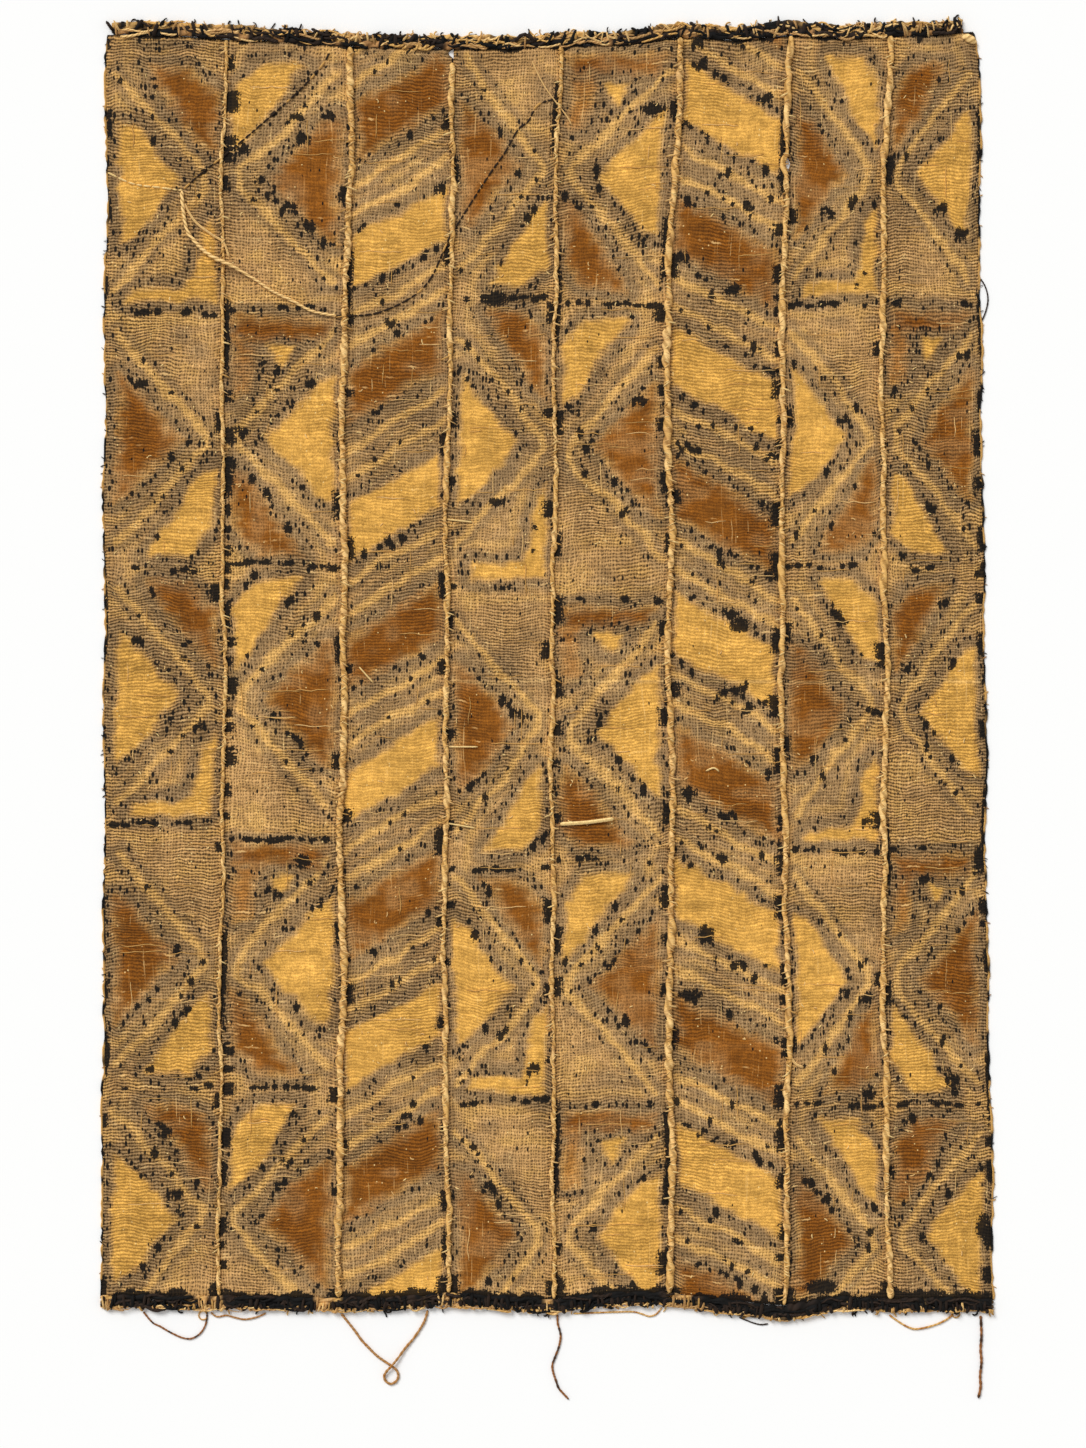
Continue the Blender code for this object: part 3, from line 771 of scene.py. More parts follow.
def strip_rows(strip, rows, columns):
    """A grid over one strip: shares across, ribs up, and right and up in mm."""
    across, share = np.meshgrid(np.linspace(0, 1, columns + 1), np.linspace(0, 1, rows + 1))
    place = strip - 1 + across
    low, high = end_height(place, -1), end_height(place, 1)
    y = low + share * (high - low)
    left, right = sides(strip, y)
    x = left + across * (right - left)
    ribs = share * RIBS
    from_end = np.minimum(y - low, high - y)
    inner = rounded(1.0, 15.0, np.minimum(np.minimum(across, 1 - across) * CHART_WIDE, from_end))
    x = x + inner * 1.6 * soft_noise(x / 33, y / 30, 11)
    y = y + inner * (4.2 * soft_noise(x / 37, y / 46, 12) + 1.3 * soft_noise(x / 12, y / 15, 13))
    return across, ribs, x, y, np.minimum(y - low, high - y)


def upper_and_under(values):
    """Values at the upper points, then at the fewer points of the underside."""
    under = values[::ROWS_TO_A_RIB, ::COLUMNS // UNDER_COLUMNS]
    width = values.shape[-1]
    return np.concatenate([values.reshape(-1, width), under.reshape(-1, width)])


def build_strip(strip, material):
    """One woven strip: ribbed, puckered and hemmed above, flat below."""
    across, ribs, x, y, from_end = strip_rows(strip, RIBS * ROWS_TO_A_RIB, COLUMNS)
    pucker = 0.45 * soft_noise(x / 42, y / 36, 21) + 0.30 * soft_noise(x / 15, y / 13, 22)
    edge_share = rounded(0.0, 12.0, np.minimum(across, 1 - across) * CHART_WIDE)
    hem = np.interp(from_end, [at for at, _ in HEM], [rise for _, rise in HEM]) * edge_share
    z = SELVEDGE + (FACE - SELVEDGE + pucker) * edge_share + hem
    rib = RIB_RISE * (0.8 + 0.35 * soft_noise(x / 9, y / 5, 23))
    z = z + rib * np.cos(2 * np.pi * ribs)
    points = upper_and_under(np.stack([x, y, z], axis=-1))
    points[x.size:, 2] = 0.0
    under_shape = (RIBS + 1, UNDER_COLUMNS + 1)
    faces = grid_faces(x.shape, 0) + rim_faces(x.shape, under_shape)
    faces += [face[::-1] for face in grid_faces(under_shape, x.size)]
    dye, weave, solid = dye_strip(strip, across, x, y)
    at = np.stack([across * CHART_WIDE, ribs, np.full_like(x, strip * 17.3)], axis=-1)
    made = add_mesh(f"woven_strip_{strip}", points, faces, material, {
        "dye": upper_and_under(with_alpha(dye, 1.0)),
        "weave": upper_and_under(with_alpha(weave, solid)),
        "cloth_at": upper_and_under(at),
    })
    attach(made, "root")
    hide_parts(f"strip_{strip}")
    wide, tall = (float(np.ptp(c)) * MM for c in (x[len(x) // 2], y[:, COLUMNS // 2]))


def grid_faces(shape, first):
    """The four-sided faces of a grid of points, from its first point on."""
    rows, columns = shape
    corner = (np.arange(rows - 1)[:, None] * columns + np.arange(columns - 1)[None]).ravel() + first
    return np.stack([corner, corner + 1, corner + columns + 1, corner + columns], axis=1).tolist()


def rim_faces(upper, lower):
    """Faces that join the fine upper rim to the coarse lower one."""
    rows, columns = upper
    under_rows, under_columns = lower
    first = rows * columns
    step_up = (rows - 1) // (under_rows - 1)
    step_across = (columns - 1) // (under_columns - 1)
    faces = []
    for n in range(under_rows - 1):
        fine = [(n * step_up + k) * columns for k in range(step_up + 1)]
        below = [first + (n + k) * under_columns for k in (1, 0)]
        faces.append(fine + below)
        fine = [at + columns - 1 for at in fine]
        below = [at + under_columns - 1 for at in below]
        faces.append((fine + below)[::-1])
    top, under_top = (rows - 1) * columns, first + (under_rows - 1) * under_columns
    for n in range(under_columns - 1):
        fine = [n * step_across + k for k in range(step_across + 1)]
        below = [first + n + k for k in (1, 0)]
        faces.append((fine + below)[::-1])
        faces.append([top + at for at in fine] + [under_top + at - first for at in below])
    return faces


class Yarns:
    """Tubes gathered into one mesh: round or twisted, each with its own colour."""

    def __init__(self, seed):
        self.points, self.faces, self.tints, self.ats = [], [], [], []
        self.count = 0
        self.chance = np.random.default_rng(seed)

    def add(self, route, radius, tint, lay=0.0, lobe=0.0, sides=6, flat=1.0):
        """One yarn along a route in mm; lay is the run of one turn of its strands."""
        route = np.asarray(route, float)
        run = np.gradient(route, axis=0)
        run /= np.linalg.norm(run, axis=1, keepdims=True)
        side = np.cross(run, (0.0, 0.0, 1.0))
        side /= np.maximum(np.linalg.norm(side, axis=1, keepdims=True), 1e-6)
        above = np.cross(side, run)
        steps = np.linalg.norm(np.diff(route, axis=0), axis=1)
        along = np.concatenate([[0.0], np.cumsum(steps)])
        angle = 2 * np.pi * np.arange(sides) / sides
        turn = 2 * np.pi * along / lay if lay else 0.0 * along
        if lay:
            turn = turn + 2.6 * uneven(along / lay * 0.8, lay, 59)
        radius = np.broadcast_to(radius, along.shape).copy()
        radius[[0, -1]] *= PINCHED
        size = radius[:, None] * (1 - lobe + lobe * np.cos(2 * (angle[None] - turn[:, None])))
        ring = route[:, None] + (size * np.cos(angle))[..., None] * side[:, None]
        ring = ring + flat * (size * np.sin(angle))[..., None] * above[:, None]
        rings = len(route)
        first = self.count + np.arange(rings - 1)[:, None] * sides
        a, b = first + np.arange(sides)[None], first + (np.arange(sides)[None] + 1) % sides
        self.faces += np.stack([a, b, b + sides, a + sides], axis=-1).reshape(-1, 4).tolist()
        self.faces.append([self.count + k for k in range(sides)][::-1])
        self.faces.append([self.count + (rings - 1) * sides + k for k in range(sides)])
        self.points.append(ring.reshape(-1, 3))
        tint = linear(tint) if isinstance(tint, str) else tint
        tint = np.broadcast_to(tint[:, None] if tint.ndim == 2 else tint, (rings, sides, 3))
        self.tints.append(tint.reshape(-1, 3))
        turned = angle[None] / (2 * np.pi) * 2.0 - turn[:, None] / np.pi
        at = np.stack(np.broadcast_arrays(along[:, None], turned, self.chance.uniform(0, 99)), axis=-1)
        self.ats.append(at.reshape(-1, 3))
        self.count += rings * sides

    def finish(self, name, material, slot, *nodes):
        """One piece of all the yarns, in place of the nodes."""
        made = add_mesh(name, np.concatenate(self.points), self.faces, material, {
            "tint": with_alpha(np.concatenate(self.tints), 1.0),
            "yarn_at": np.concatenate(self.ats),
        })
        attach(made, "root")
        if nodes:
            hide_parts(*nodes)
        return made


def smooth_route(points, spacing):
    """Even points along a smooth curve through a route's own points."""
    points = np.asarray(points, float)
    padded = np.concatenate([points[:1], points, points[-1:]])
    fine = [curve_point(*padded[i:i + 4], t)
            for i in range(len(points) - 1) for t in np.arange(CURVE_STEPS) / CURVE_STEPS]
    fine = np.array(fine + [points[-1]])
    run = np.concatenate([[0.0], np.cumsum(np.linalg.norm(np.diff(fine, axis=0), axis=1))])
    count = max(2, round(run[-1] / spacing))
    at = np.linspace(0.0, run[-1], count + 1)
    return np.stack([np.interp(at, run, fine[:, k]) for k in range(points.shape[1])], axis=1)


def raised(route, diameter):
    """A cord's middle line from its route."""
    return [(x, y, sum(under) + diameter / 2 + THREAD_LIFT) for x, y, *under in route]


def arch(start, end, height, low, steps=7):
    """A stitch that rises from the face at start, passes over, and goes down at end."""
    t = np.linspace(0.0, 1.0, steps)
    flat = np.array(start)[None] * (1 - t)[:, None] + np.array(end)[None] * t[:, None]
    return np.column_stack([flat, low + (height - low) * np.sin(np.pi * t) ** 0.6])


def build_seams(material):
    """The joining yarns: crinkled ropes along the joints, with stitches over them."""
    for row in named(SEAM_COLUMNS, SEAM_YARNS):
        joint, half = row["joint"], row["half"]
        yarns = Yarns(100 + joint)
        low = end_height(joint, -1) + 1.0
        high = SEAM_TOPS.get(joint, end_height(joint, 1) - 1.0)
        up = np.linspace(low, high, int((high - low) / 2.6))
        lumps = uneven(up / 30, joint, 51) + 0.6 * uneven(up / 9, joint, 52)
        x = line(joint, up) + 1.1 * uneven(up / 14, joint, 53)
        x = x + 0.6 * uneven(up / 5, joint, 55) - 0.8 * opened(joint, "right", up)
        crinkle = uneven(up / 4.1, joint, 57)
        thick = half * np.clip(0.92 + 0.26 * lumps + 0.22 * crinkle, 0.45, 1.5)
        z = np.full_like(up, SELVEDGE + 0.55 * half + 0.9)
        paler = 0.8 * rounded(-0.1, 0.8, 0.6 * crinkle + uneven(up / 21, joint, 54))
        tint = mixed(linear("line"), linear("pale"), paler)
        tint = mixed(tint, linear("thread"), 0.55 * rounded(0.45, 0.8, uneven(up / 6, joint, 56)))
        yarns.add(np.column_stack([x, up, z]), thick, tint,
                  lay=1.7 * row["lay"], lobe=0.12, sides=8, flat=0.8)
        add_whipping(yarns, joint, half, low, high)
        yarns.finish(f"joining_yarn_{joint}", material, "seam_yarn", f"seam_{joint}")


def add_whipping(yarns, joint, half, low, high):
    """Slanted stitches that bind a joining yarn to the strips on both sides."""
    chance = yarns.chance
    up = low + 4.0
    while up < high - 6.0:
        middle = float(line(joint, up))
        long = chance.random() < 0.16
        reach = 0.85 * half + (chance.uniform(3.0, 8.0) if long else chance.uniform(-0.5, 1.4))
        other = 0.85 * half + chance.uniform(-0.8, 1.2)
        lean = chance.uniform(1.5, 6.5)
        side = 1.0 if chance.random() < 0.5 else -1.0
        colour = "pale" if chance.random() < 0.5 else ("line" if chance.random() < 0.5 else "cream")
        tint = linear(colour) * chance.uniform(0.85, 1.08)
        radius = chance.uniform(0.45, 0.95)
        top = SELVEDGE + 0.9 + 1.35 * half + 0.3 * radius
        yarns.add(arch((middle - side * reach, up), (middle + side * other, up + lean), top, 1.7),
                  radius, tint, sides=5)
        up += chance.uniform(2.0, 7.0)


def edge_route(name, up_sign, spacing, out):
    """Points along an edge yarn, out mm beyond its middle line."""
    place = np.linspace(0.0, STRIPS, int(STRIPS * CHART_WIDE / spacing))
    y = edge(place, name)
    whole = np.minimum(place.astype(int), STRIPS - 1)
    bounds = np.array([[line(k, h) for k in range(STRIPS + 1)] for h in y])
    at = np.arange(len(place))
    left, right = bounds[at, whole], bounds[at, whole + 1]
    x = left + (place - whole) * (right - left)
    lump = edge(place, name + "_lump")
    return place, x, y + up_sign * (out + 0.5 * lump), lump


def build_edging(name, up_sign, material):
    """A lumpy black and tan yarn bundle with stitches, bundles and frayed ends over it."""
    yarns = Yarns(EDGE_SEEDS[name])
    for row in named(ROLL_COLUMNS, EDGE_ROLLS[name]):
        add_roll(yarns, name, up_sign, **row)
    add_edge_stitches(yarns, name, up_sign)
    add_edge_bundles(yarns, name, up_sign)
    add_edge_ends(yarns, name, up_sign)
    if up_sign > 0:
        route = smooth_route(TUFT, 3.0)
        radius = 3.2 + 2.2 * np.sin(np.pi * np.linspace(0.0, 1.0, len(route)))
        yarns.add(np.column_stack([route, radius]), radius, "pale", lay=9.0, lobe=0.2, sides=10)
    else:
        turn = np.linspace(0.0, 2 * np.pi, 15)
        for right, up, half in FOOT_RINGS:
            ring = (right + half * np.cos(turn), up + half * np.sin(turn), np.full_like(turn, 1.1))
            yarns.add(np.column_stack(ring), 0.85, "line", sides=6)
    yarns.finish(f"edge_yarn_{name}", material, "edge_yarn", f"edging_{name}")


def add_roll(yarns, name, up_sign, out, thick, colours, lay):
    """One roll of an edge yarn; at the foot it is tan where there is no mud."""
    place, x, y, lump = edge_route(name, up_sign, 3.0, out)
    n = np.arange(len(x))
    first, second, third = (linear(colour) for colour in colours)
    y = y + (1.6 if out > -1.0 else 0.8) * uneven(n / 5.0, out, 61)
    radius = thick * (1.0 + EDGE_ROUGH[name] * uneven(n / 2.6, out, 62)) + 0.25 * lump
    tint = mixed(first, second, 0.85 * rounded(-0.2, 0.6, uneven(n / 6.0, out, 63)))
    tint = mixed(tint, third, rounded(0.2, 0.7, uneven(n / 4.0, out, 64)))
    if up_sign < 0:
        patchy = uneven(n / 3.0, out, 65)
        bare = rounded(0.25, 0.75, 1.0 - foot_mud(place) + 0.35 * patchy)
        pale = mixed(linear("tan"), linear("line"), rounded(0.0, 0.5, patchy))
        pale = mixed(pale, linear("dark"), rounded(0.2, 0.6, -patchy))
        tint = mixed(tint, pale, bare)
        radius = radius * (1.0 - 0.25 * bare)
    z = 0.62 * radius + (1.0 if out > -1.0 else 0.6)
    yarns.add(np.column_stack([x, y, z]), radius, tint, lay=lay, lobe=0.16, sides=10, flat=0.66)


def edge_tone(dark, chance):
    """The name of a colour for a dark or a pale yarn of the edges."""
    tones = ("mud", "dark") if dark else ("line", "tan", "pale")
    return tones[chance.integers(len(tones))]


def add_edge_stitches(yarns, name, up_sign):
    """Stitches over the edge yarn: at the foot, black ones across it and pale ones outside."""
    chance, top = yarns.chance, up_sign > 0
    place, x, y, _ = edge_route(name, up_sign, 1.0, 0.0)
    at = 2
    while at < len(x) - 4:
        dark = chance.random() < (0.5 if top else 0.1 + 0.6 * float(foot_mud(place[at])))
        tone = edge_tone(dark, chance)
        radius = chance.uniform(1.1, 2.4) if dark else chance.uniform(0.7, 1.5)
        reaching = top or dark or foot_mud(place[at]) < 0.5 or chance.random() < 0.12
        inner = chance.uniform(-11.0, 2.0) if reaching else chance.uniform(0.5, 5.0)
        outer = chance.uniform(5.5, 9.0) if top or not dark else chance.uniform(3.0, 7.5)
        lean = chance.uniform(-9.0, 9.0) if top else chance.uniform(-4.0, 4.0)
        route = arch((x[at], y[at] + up_sign * inner), (x[at] + lean, y[at] + up_sign * outer),
                     chance.uniform(6.0, 8.4), 2.2)
        route[-1, 2] = max(radius, 0.8)
        yarns.add(route, radius, linear(tone) * chance.uniform(0.8, 1.15), sides=6)
        at += int(chance.uniform(4, 10) if top else chance.uniform(2, 6))


def add_edge_bundles(yarns, name, up_sign):
    """Twisted bundles that run along the edge yarn, swinging in and out."""
    chance, top = yarns.chance, up_sign > 0
    place, x, y, _ = edge_route(name, up_sign, 1.0, 0.0)
    n = np.arange(len(x))
    for _ in range(EDGE_BUNDLES[name]):
        run = chance.uniform(9.0, 24.0) if chance.random() < 0.6 else chance.uniform(24.0, 48.0)
        t = np.linspace(0.0, 1.0, 6 + int(run / 4))
        at = chance.uniform(2.0, len(x) - 2.0 - run) + run * t
        dark = chance.random() < (0.4 if top else 0.6 * float(foot_mud(place[int(at[0])])))
        tone = edge_tone(dark, chance)
        out = chance.uniform(-8.0, 5.5) if top or dark else chance.uniform(3.0, 7.0)
        swing = chance.uniform(1.0, 3.4) if top or dark else chance.uniform(0.4, 1.8)
        shift = chance.uniform(0.0, 6.3)
        out = out + swing * np.sin(chance.uniform(3.0, 8.0) * t + shift)
        radius = chance.uniform(1.3, 2.7) if dark else chance.uniform(0.8, 1.9)
        high = chance.uniform(4.2, 6.0) + 1.4 * np.sin(np.pi * t)
        yarns.add(
            np.column_stack([np.interp(at, n, x), np.interp(at, n, y) + up_sign * out, high]),
            radius * (1.0 if top or dark else 0.7), linear(tone) * chance.uniform(0.8, 1.1),
            lay=9.0, lobe=0.16, sides=6,
        )


def add_edge_ends(yarns, name, up_sign):
    """Frayed ends that curl out past the edge yarn."""
    chance = yarns.chance
    _, x, y, _ = edge_route(name, up_sign, 1.0, 0.0)
    for _ in range(EDGE_ENDS[name]):
        at = chance.integers(3, len(x) - 3)
        heading, bend = chance.uniform(-1.6, 1.6), chance.uniform(-0.55, 0.55)
        step = chance.uniform(0.9, 1.7)
        points = [np.array([x[at], y[at] + up_sign * 5.0, chance.uniform(1.5, 5.0)])]
        for _ in range(6):
            heading += bend
            move = np.array([math.sin(heading), up_sign * math.cos(heading), -0.25]) * step
            points.append(points[-1] + move)
        points = np.array(points)
        points[:, 2] = np.maximum(points[:, 2], 1.0)
        tone = ("mud", "dark", "line", "pale")[chance.integers(4)]
        yarns.add(points, chance.uniform(0.6, 1.2), tone, sides=5)


def build_selvedges(material):
    """The yarn that turns at each outer side, with its barbs and loose ends."""
    yarns = Yarns(300)
    chance = yarns.chance
    for place, out in ((0, -1.0), (STRIPS, 1.0)):
        up = np.linspace(end_height(place, -1), end_height(place, 1), 560)
        wave = uneven(up / 6.5, place, 71) + 0.7 * uneven(up / 23, place, 72)
        x = line(place, up) + out * (0.2 + 0.9 * wave)
        tint = mixed(linear("line"), linear("mud"), rounded(0.0, 0.35, uneven(up / 15, place, 73)))
        yarns.add(np.column_stack([x, up, 1.3 + 0.2 * wave]), 1.15 + 0.25 * wave, tint, sides=6)
        for _ in range(BARBS):
            at = chance.uniform(up[0], up[-1])
            start = np.array([float(line(place, at)) - out * 2.0, at, 1.7])
            angle = chance.uniform(-0.9, 0.9)
            length = chance.uniform(2.5, 7.5)
            t = np.linspace(0, 1, 5)[:, None]
            heading = np.array([out * math.cos(angle), math.sin(angle), 0.0])
            curl = np.array([0.0, chance.uniform(-2.0, 2.0), 0.0])
            route = start + heading * t * length + curl * t * t
            route[:, 2] = 1.9 - 1.1 * t[:, 0] ** 2
            colour = ("mud", "dark", "line", "thread")[chance.integers(4)]
            yarns.add(route, chance.uniform(0.4, 0.8), colour, sides=5)
    yarns.finish("selvedge_yarns", material, "woven_cotton")


def build_face_yarns(material):
    """Stray weft yarns, short curls and the sewing threads that run through the face."""
    yarns = Yarns(400)
    add_stray_yarns(yarns)
    add_curls(yarns)
    for colour, points in FACE_THREADS:
        add_sewing(yarns, colour, points)
    for colour, points, radius in SHORT_STITCHES:
        route = smooth_route(points, 2.5)
        rise = np.sin(np.pi * np.linspace(0, 1, len(route)))
        yarns.add(np.column_stack([route, FACE + 0.4 + radius + 0.8 * rise]), radius, colour, sides=6)
    yarns.finish("face_yarns", material, "woven_cotton")


def add_stray_yarns(yarns):
    """Fine pale yarns that lie loose on the face, most along the weft."""
    chance = yarns.chance
    for _ in range(STRAY_YARNS):
        strip = int(chance.integers(1, STRIPS + 1))
        y = chance.uniform(-700, 690)
        left, right = (float(s) for s in sides(strip, np.array(y)))
        x = left + chance.uniform(0.1, 0.8) * (right - left)
        upright = chance.random() < 0.3
        length = chance.uniform(10, 40) if upright else min(chance.uniform(14, 60), right - x - 8)
        if length < 8:
            continue
        t = np.linspace(0, 1, max(4, int(length / 5)))
        wander = 1.7 * uneven(t * length / 9 + x, y, 81)
        xs, ys = (x + wander, y + t * length) if upright else (x + t * length, y + wander)
        zs = FACE + 0.45 + 0.35 * np.sin(t * length / 2.2)
        colour = ("pale", "line", "line")[chance.integers(3)]
        yarns.add(np.column_stack([xs, ys, zs]), chance.uniform(0.38, 0.62), colour, sides=4)


def add_curls(yarns):
    """Short pale curls of fibre on the face."""
    chance = yarns.chance
    for _ in range(CURLS):
        strip = int(chance.integers(1, STRIPS + 1))
        y = chance.uniform(-705, 695)
        left, right = (float(s) for s in sides(strip, np.array(y)))
        x = left + chance.uniform(0.06, 0.94) * (right - left)
        heading, bend, step = chance.uniform(0, 6.3), chance.uniform(-0.6, 0.6), chance.uniform(0.8, 1.6)
        points = [np.array([x, y, FACE + 0.5])]
        for _ in range(4):
            heading += bend
            points.append(points[-1] + step * np.array([math.cos(heading), math.sin(heading), 0.0]))
        colour = "cream" if chance.random() < 0.5 else "pale"
        yarns.add(points, chance.uniform(0.45, 0.8), colour, sides=5)


def add_sewing(yarns, colour, points):
    """A sewing thread through the face, as a row of stitches that rise and dip."""
    chance, route = yarns.chance, smooth_route(points, 1.6)
    start = 0
    while start < len(route) - 3:
        size = int(chance.uniform(4, 9))
        part = route[start:start + size]
        if len(part) > 2:
            z = FACE + 0.5 + 1.0 * np.sin(np.pi * np.linspace(0, 1, len(part)))
            other = "line" if colour == "dark" else "dark"
            tone = colour if chance.random() < FACE_OWN_COLOUR else other
            yarns.add(np.column_stack([part, z]), FACE_RADIUS, tone, sides=6)
        start += size


def build_mending(material):
    """The mending cord: twisted, and thinner towards its right end."""
    yarns = Yarns(500)
    route = smooth_route(raised(MENDING_ROUTE, MENDING_DIAMETER), 1.6)
    t = np.linspace(0, 1, len(route))
    radius = np.interp(t, [0, 0.4, 0.6, 1.0], [2.5, 2.4, 1.9, 1.7])
    radius = radius * (1.0 + 0.12 * uneven(t * 24, 0, 91))
    route[:, 2] -= MENDING_DIAMETER / 2 - radius
    yarns.add(route, radius, linear("pale") * 1.02, lay=16.0, lobe=0.2, sides=10)
    yarns.finish("mending_yarn", material, "mending_yarn", "mending_cord")


def build_threads(material):
    """The loose threads, each a cord with darker or redder lengths."""
    for row in named(THREAD_COLUMNS, THREADS):
        name, diameter, colour = row["name"], row["diameter"], row["colour"]
        yarns = Yarns(sum(ord(letter) for letter in name))
        path = smooth_route(raised(row["route"], diameter), 1.1)
        n = np.arange(len(path))
        other = "dark" if colour in ("umber", "dark") else "rust"
        share = 0.85 * rounded(0.15, 0.5, uneven(n / 5.0, diameter * 7, 95))
        radius = diameter / 2 * (1.16 + 0.08 * uneven(n / 3.0, 0, 96))
        yarns.add(path, radius, mixed(linear(colour), linear(other), share),
                  lay=4.2 * diameter, lobe=0.14, sides=10)
        made = yarns.finish("loose_" + name, material, "loose_thread", name)


class Nodes:
    """Short calls for a material's nodes; each takes numbers or sockets and gives a socket."""

    def __init__(self, name):
        self.material = bpy.data.materials.new(name)
        self.material.use_nodes = True
        self.tree = self.material.node_tree
        self.shader = self.tree.nodes["Principled BSDF"]

    def node(self, kind, settings=(), inputs=()):
        made = self.tree.nodes.new(kind)
        for name, value in settings:
            setattr(made, name, value)
        for name, value in inputs:
            self.give(made.inputs[name], value)
        return made

    def give(self, socket, value):
        if isinstance(value, bpy.types.NodeSocket):
            self.tree.links.new(value, socket)
        else:
            socket.default_value = value

    def times(self, a, b):
        """One value times another."""
        return self.math("MULTIPLY", a, b)

    def plus(self, a, b):
        """One value and another."""
        return self.math("ADD", a, b)

    def minus(self, a, b):
        """One value less another."""
        return self.math("SUBTRACT", a, b)

    def math(self, operation, a, b=0.0, clamp=False):
        settings = (("operation", operation), ("use_clamp", clamp))
        return self.node("ShaderNodeMath", settings, ((0, a), (1, b))).outputs[0]

    def ramp(self, value, low, high, to_low=0.0, to_high=1.0):
        made = self.node("ShaderNodeMapRange", (("interpolation_type", "SMOOTHSTEP"),), (
            ("Value", value), ("From Min", low), ("From Max", high),
            ("To Min", to_low), ("To Max", to_high)))
        return made.outputs[0]

    def mix(self, share, a, b, blend="MIX"):
        made = self.node("ShaderNodeMix", (("data_type", "RGBA"), ("blend_type", blend)))
        for socket, value in zip((made.inputs[0], made.inputs[6], made.inputs[7]), (share, a, b)):
            self.give(socket, (*value, 1.0) if isinstance(value, (tuple, np.ndarray)) else value)
        return made.outputs[2]

    def noise(self, vector, scale=1.0, detail=2.0, rough=0.5):
        made = self.node("ShaderNodeTexNoise", (), (
            ("Vector", vector), ("Scale", scale), ("Detail", detail), ("Roughness", rough)))
        return made.outputs[0]

    def cells(self, vector, scatter=0.8):
        made = self.node("ShaderNodeTexVoronoi", (), (
            ("Vector", vector), ("Scale", 1.0), ("Randomness", scatter)))
        chance = self.node("ShaderNodeSeparateColor", (), (("Color", made.outputs["Color"]),))
        return made.outputs["Distance"], chance.outputs

    def attribute(self, name):
        return self.node("ShaderNodeAttribute", (("attribute_name", name),))

    def split(self, vector):
        return self.node("ShaderNodeSeparateXYZ", (), ((0, vector),)).outputs

    def joined(self, x, y, z):
        return self.node("ShaderNodeCombineXYZ", (), ((0, x), (1, y), (2, z))).outputs[0]

    def scaled(self, x, by_x, y, by_y, z, by_z=1.0):
        return self.joined(*(self.math("MULTIPLY", value, by) for value, by in
                             ((x, by_x), (y, by_y), (z, by_z))))

    def wave(self, value):
        """From 0 to 1 and back, once for each whole unit, highest at whole numbers."""
        cosine = self.math("COSINE", self.math("MULTIPLY", value, 2 * math.pi))
        return self.math("MULTIPLY", self.math("ADD", cosine, 1.0), 0.5)

    def bump(self, height, strength, distance):
        made = self.node("ShaderNodeBump", (), (
            ("Height", height), ("Strength", strength), ("Distance", distance)))
        self.give(self.shader.inputs["Normal"], made.outputs[0])


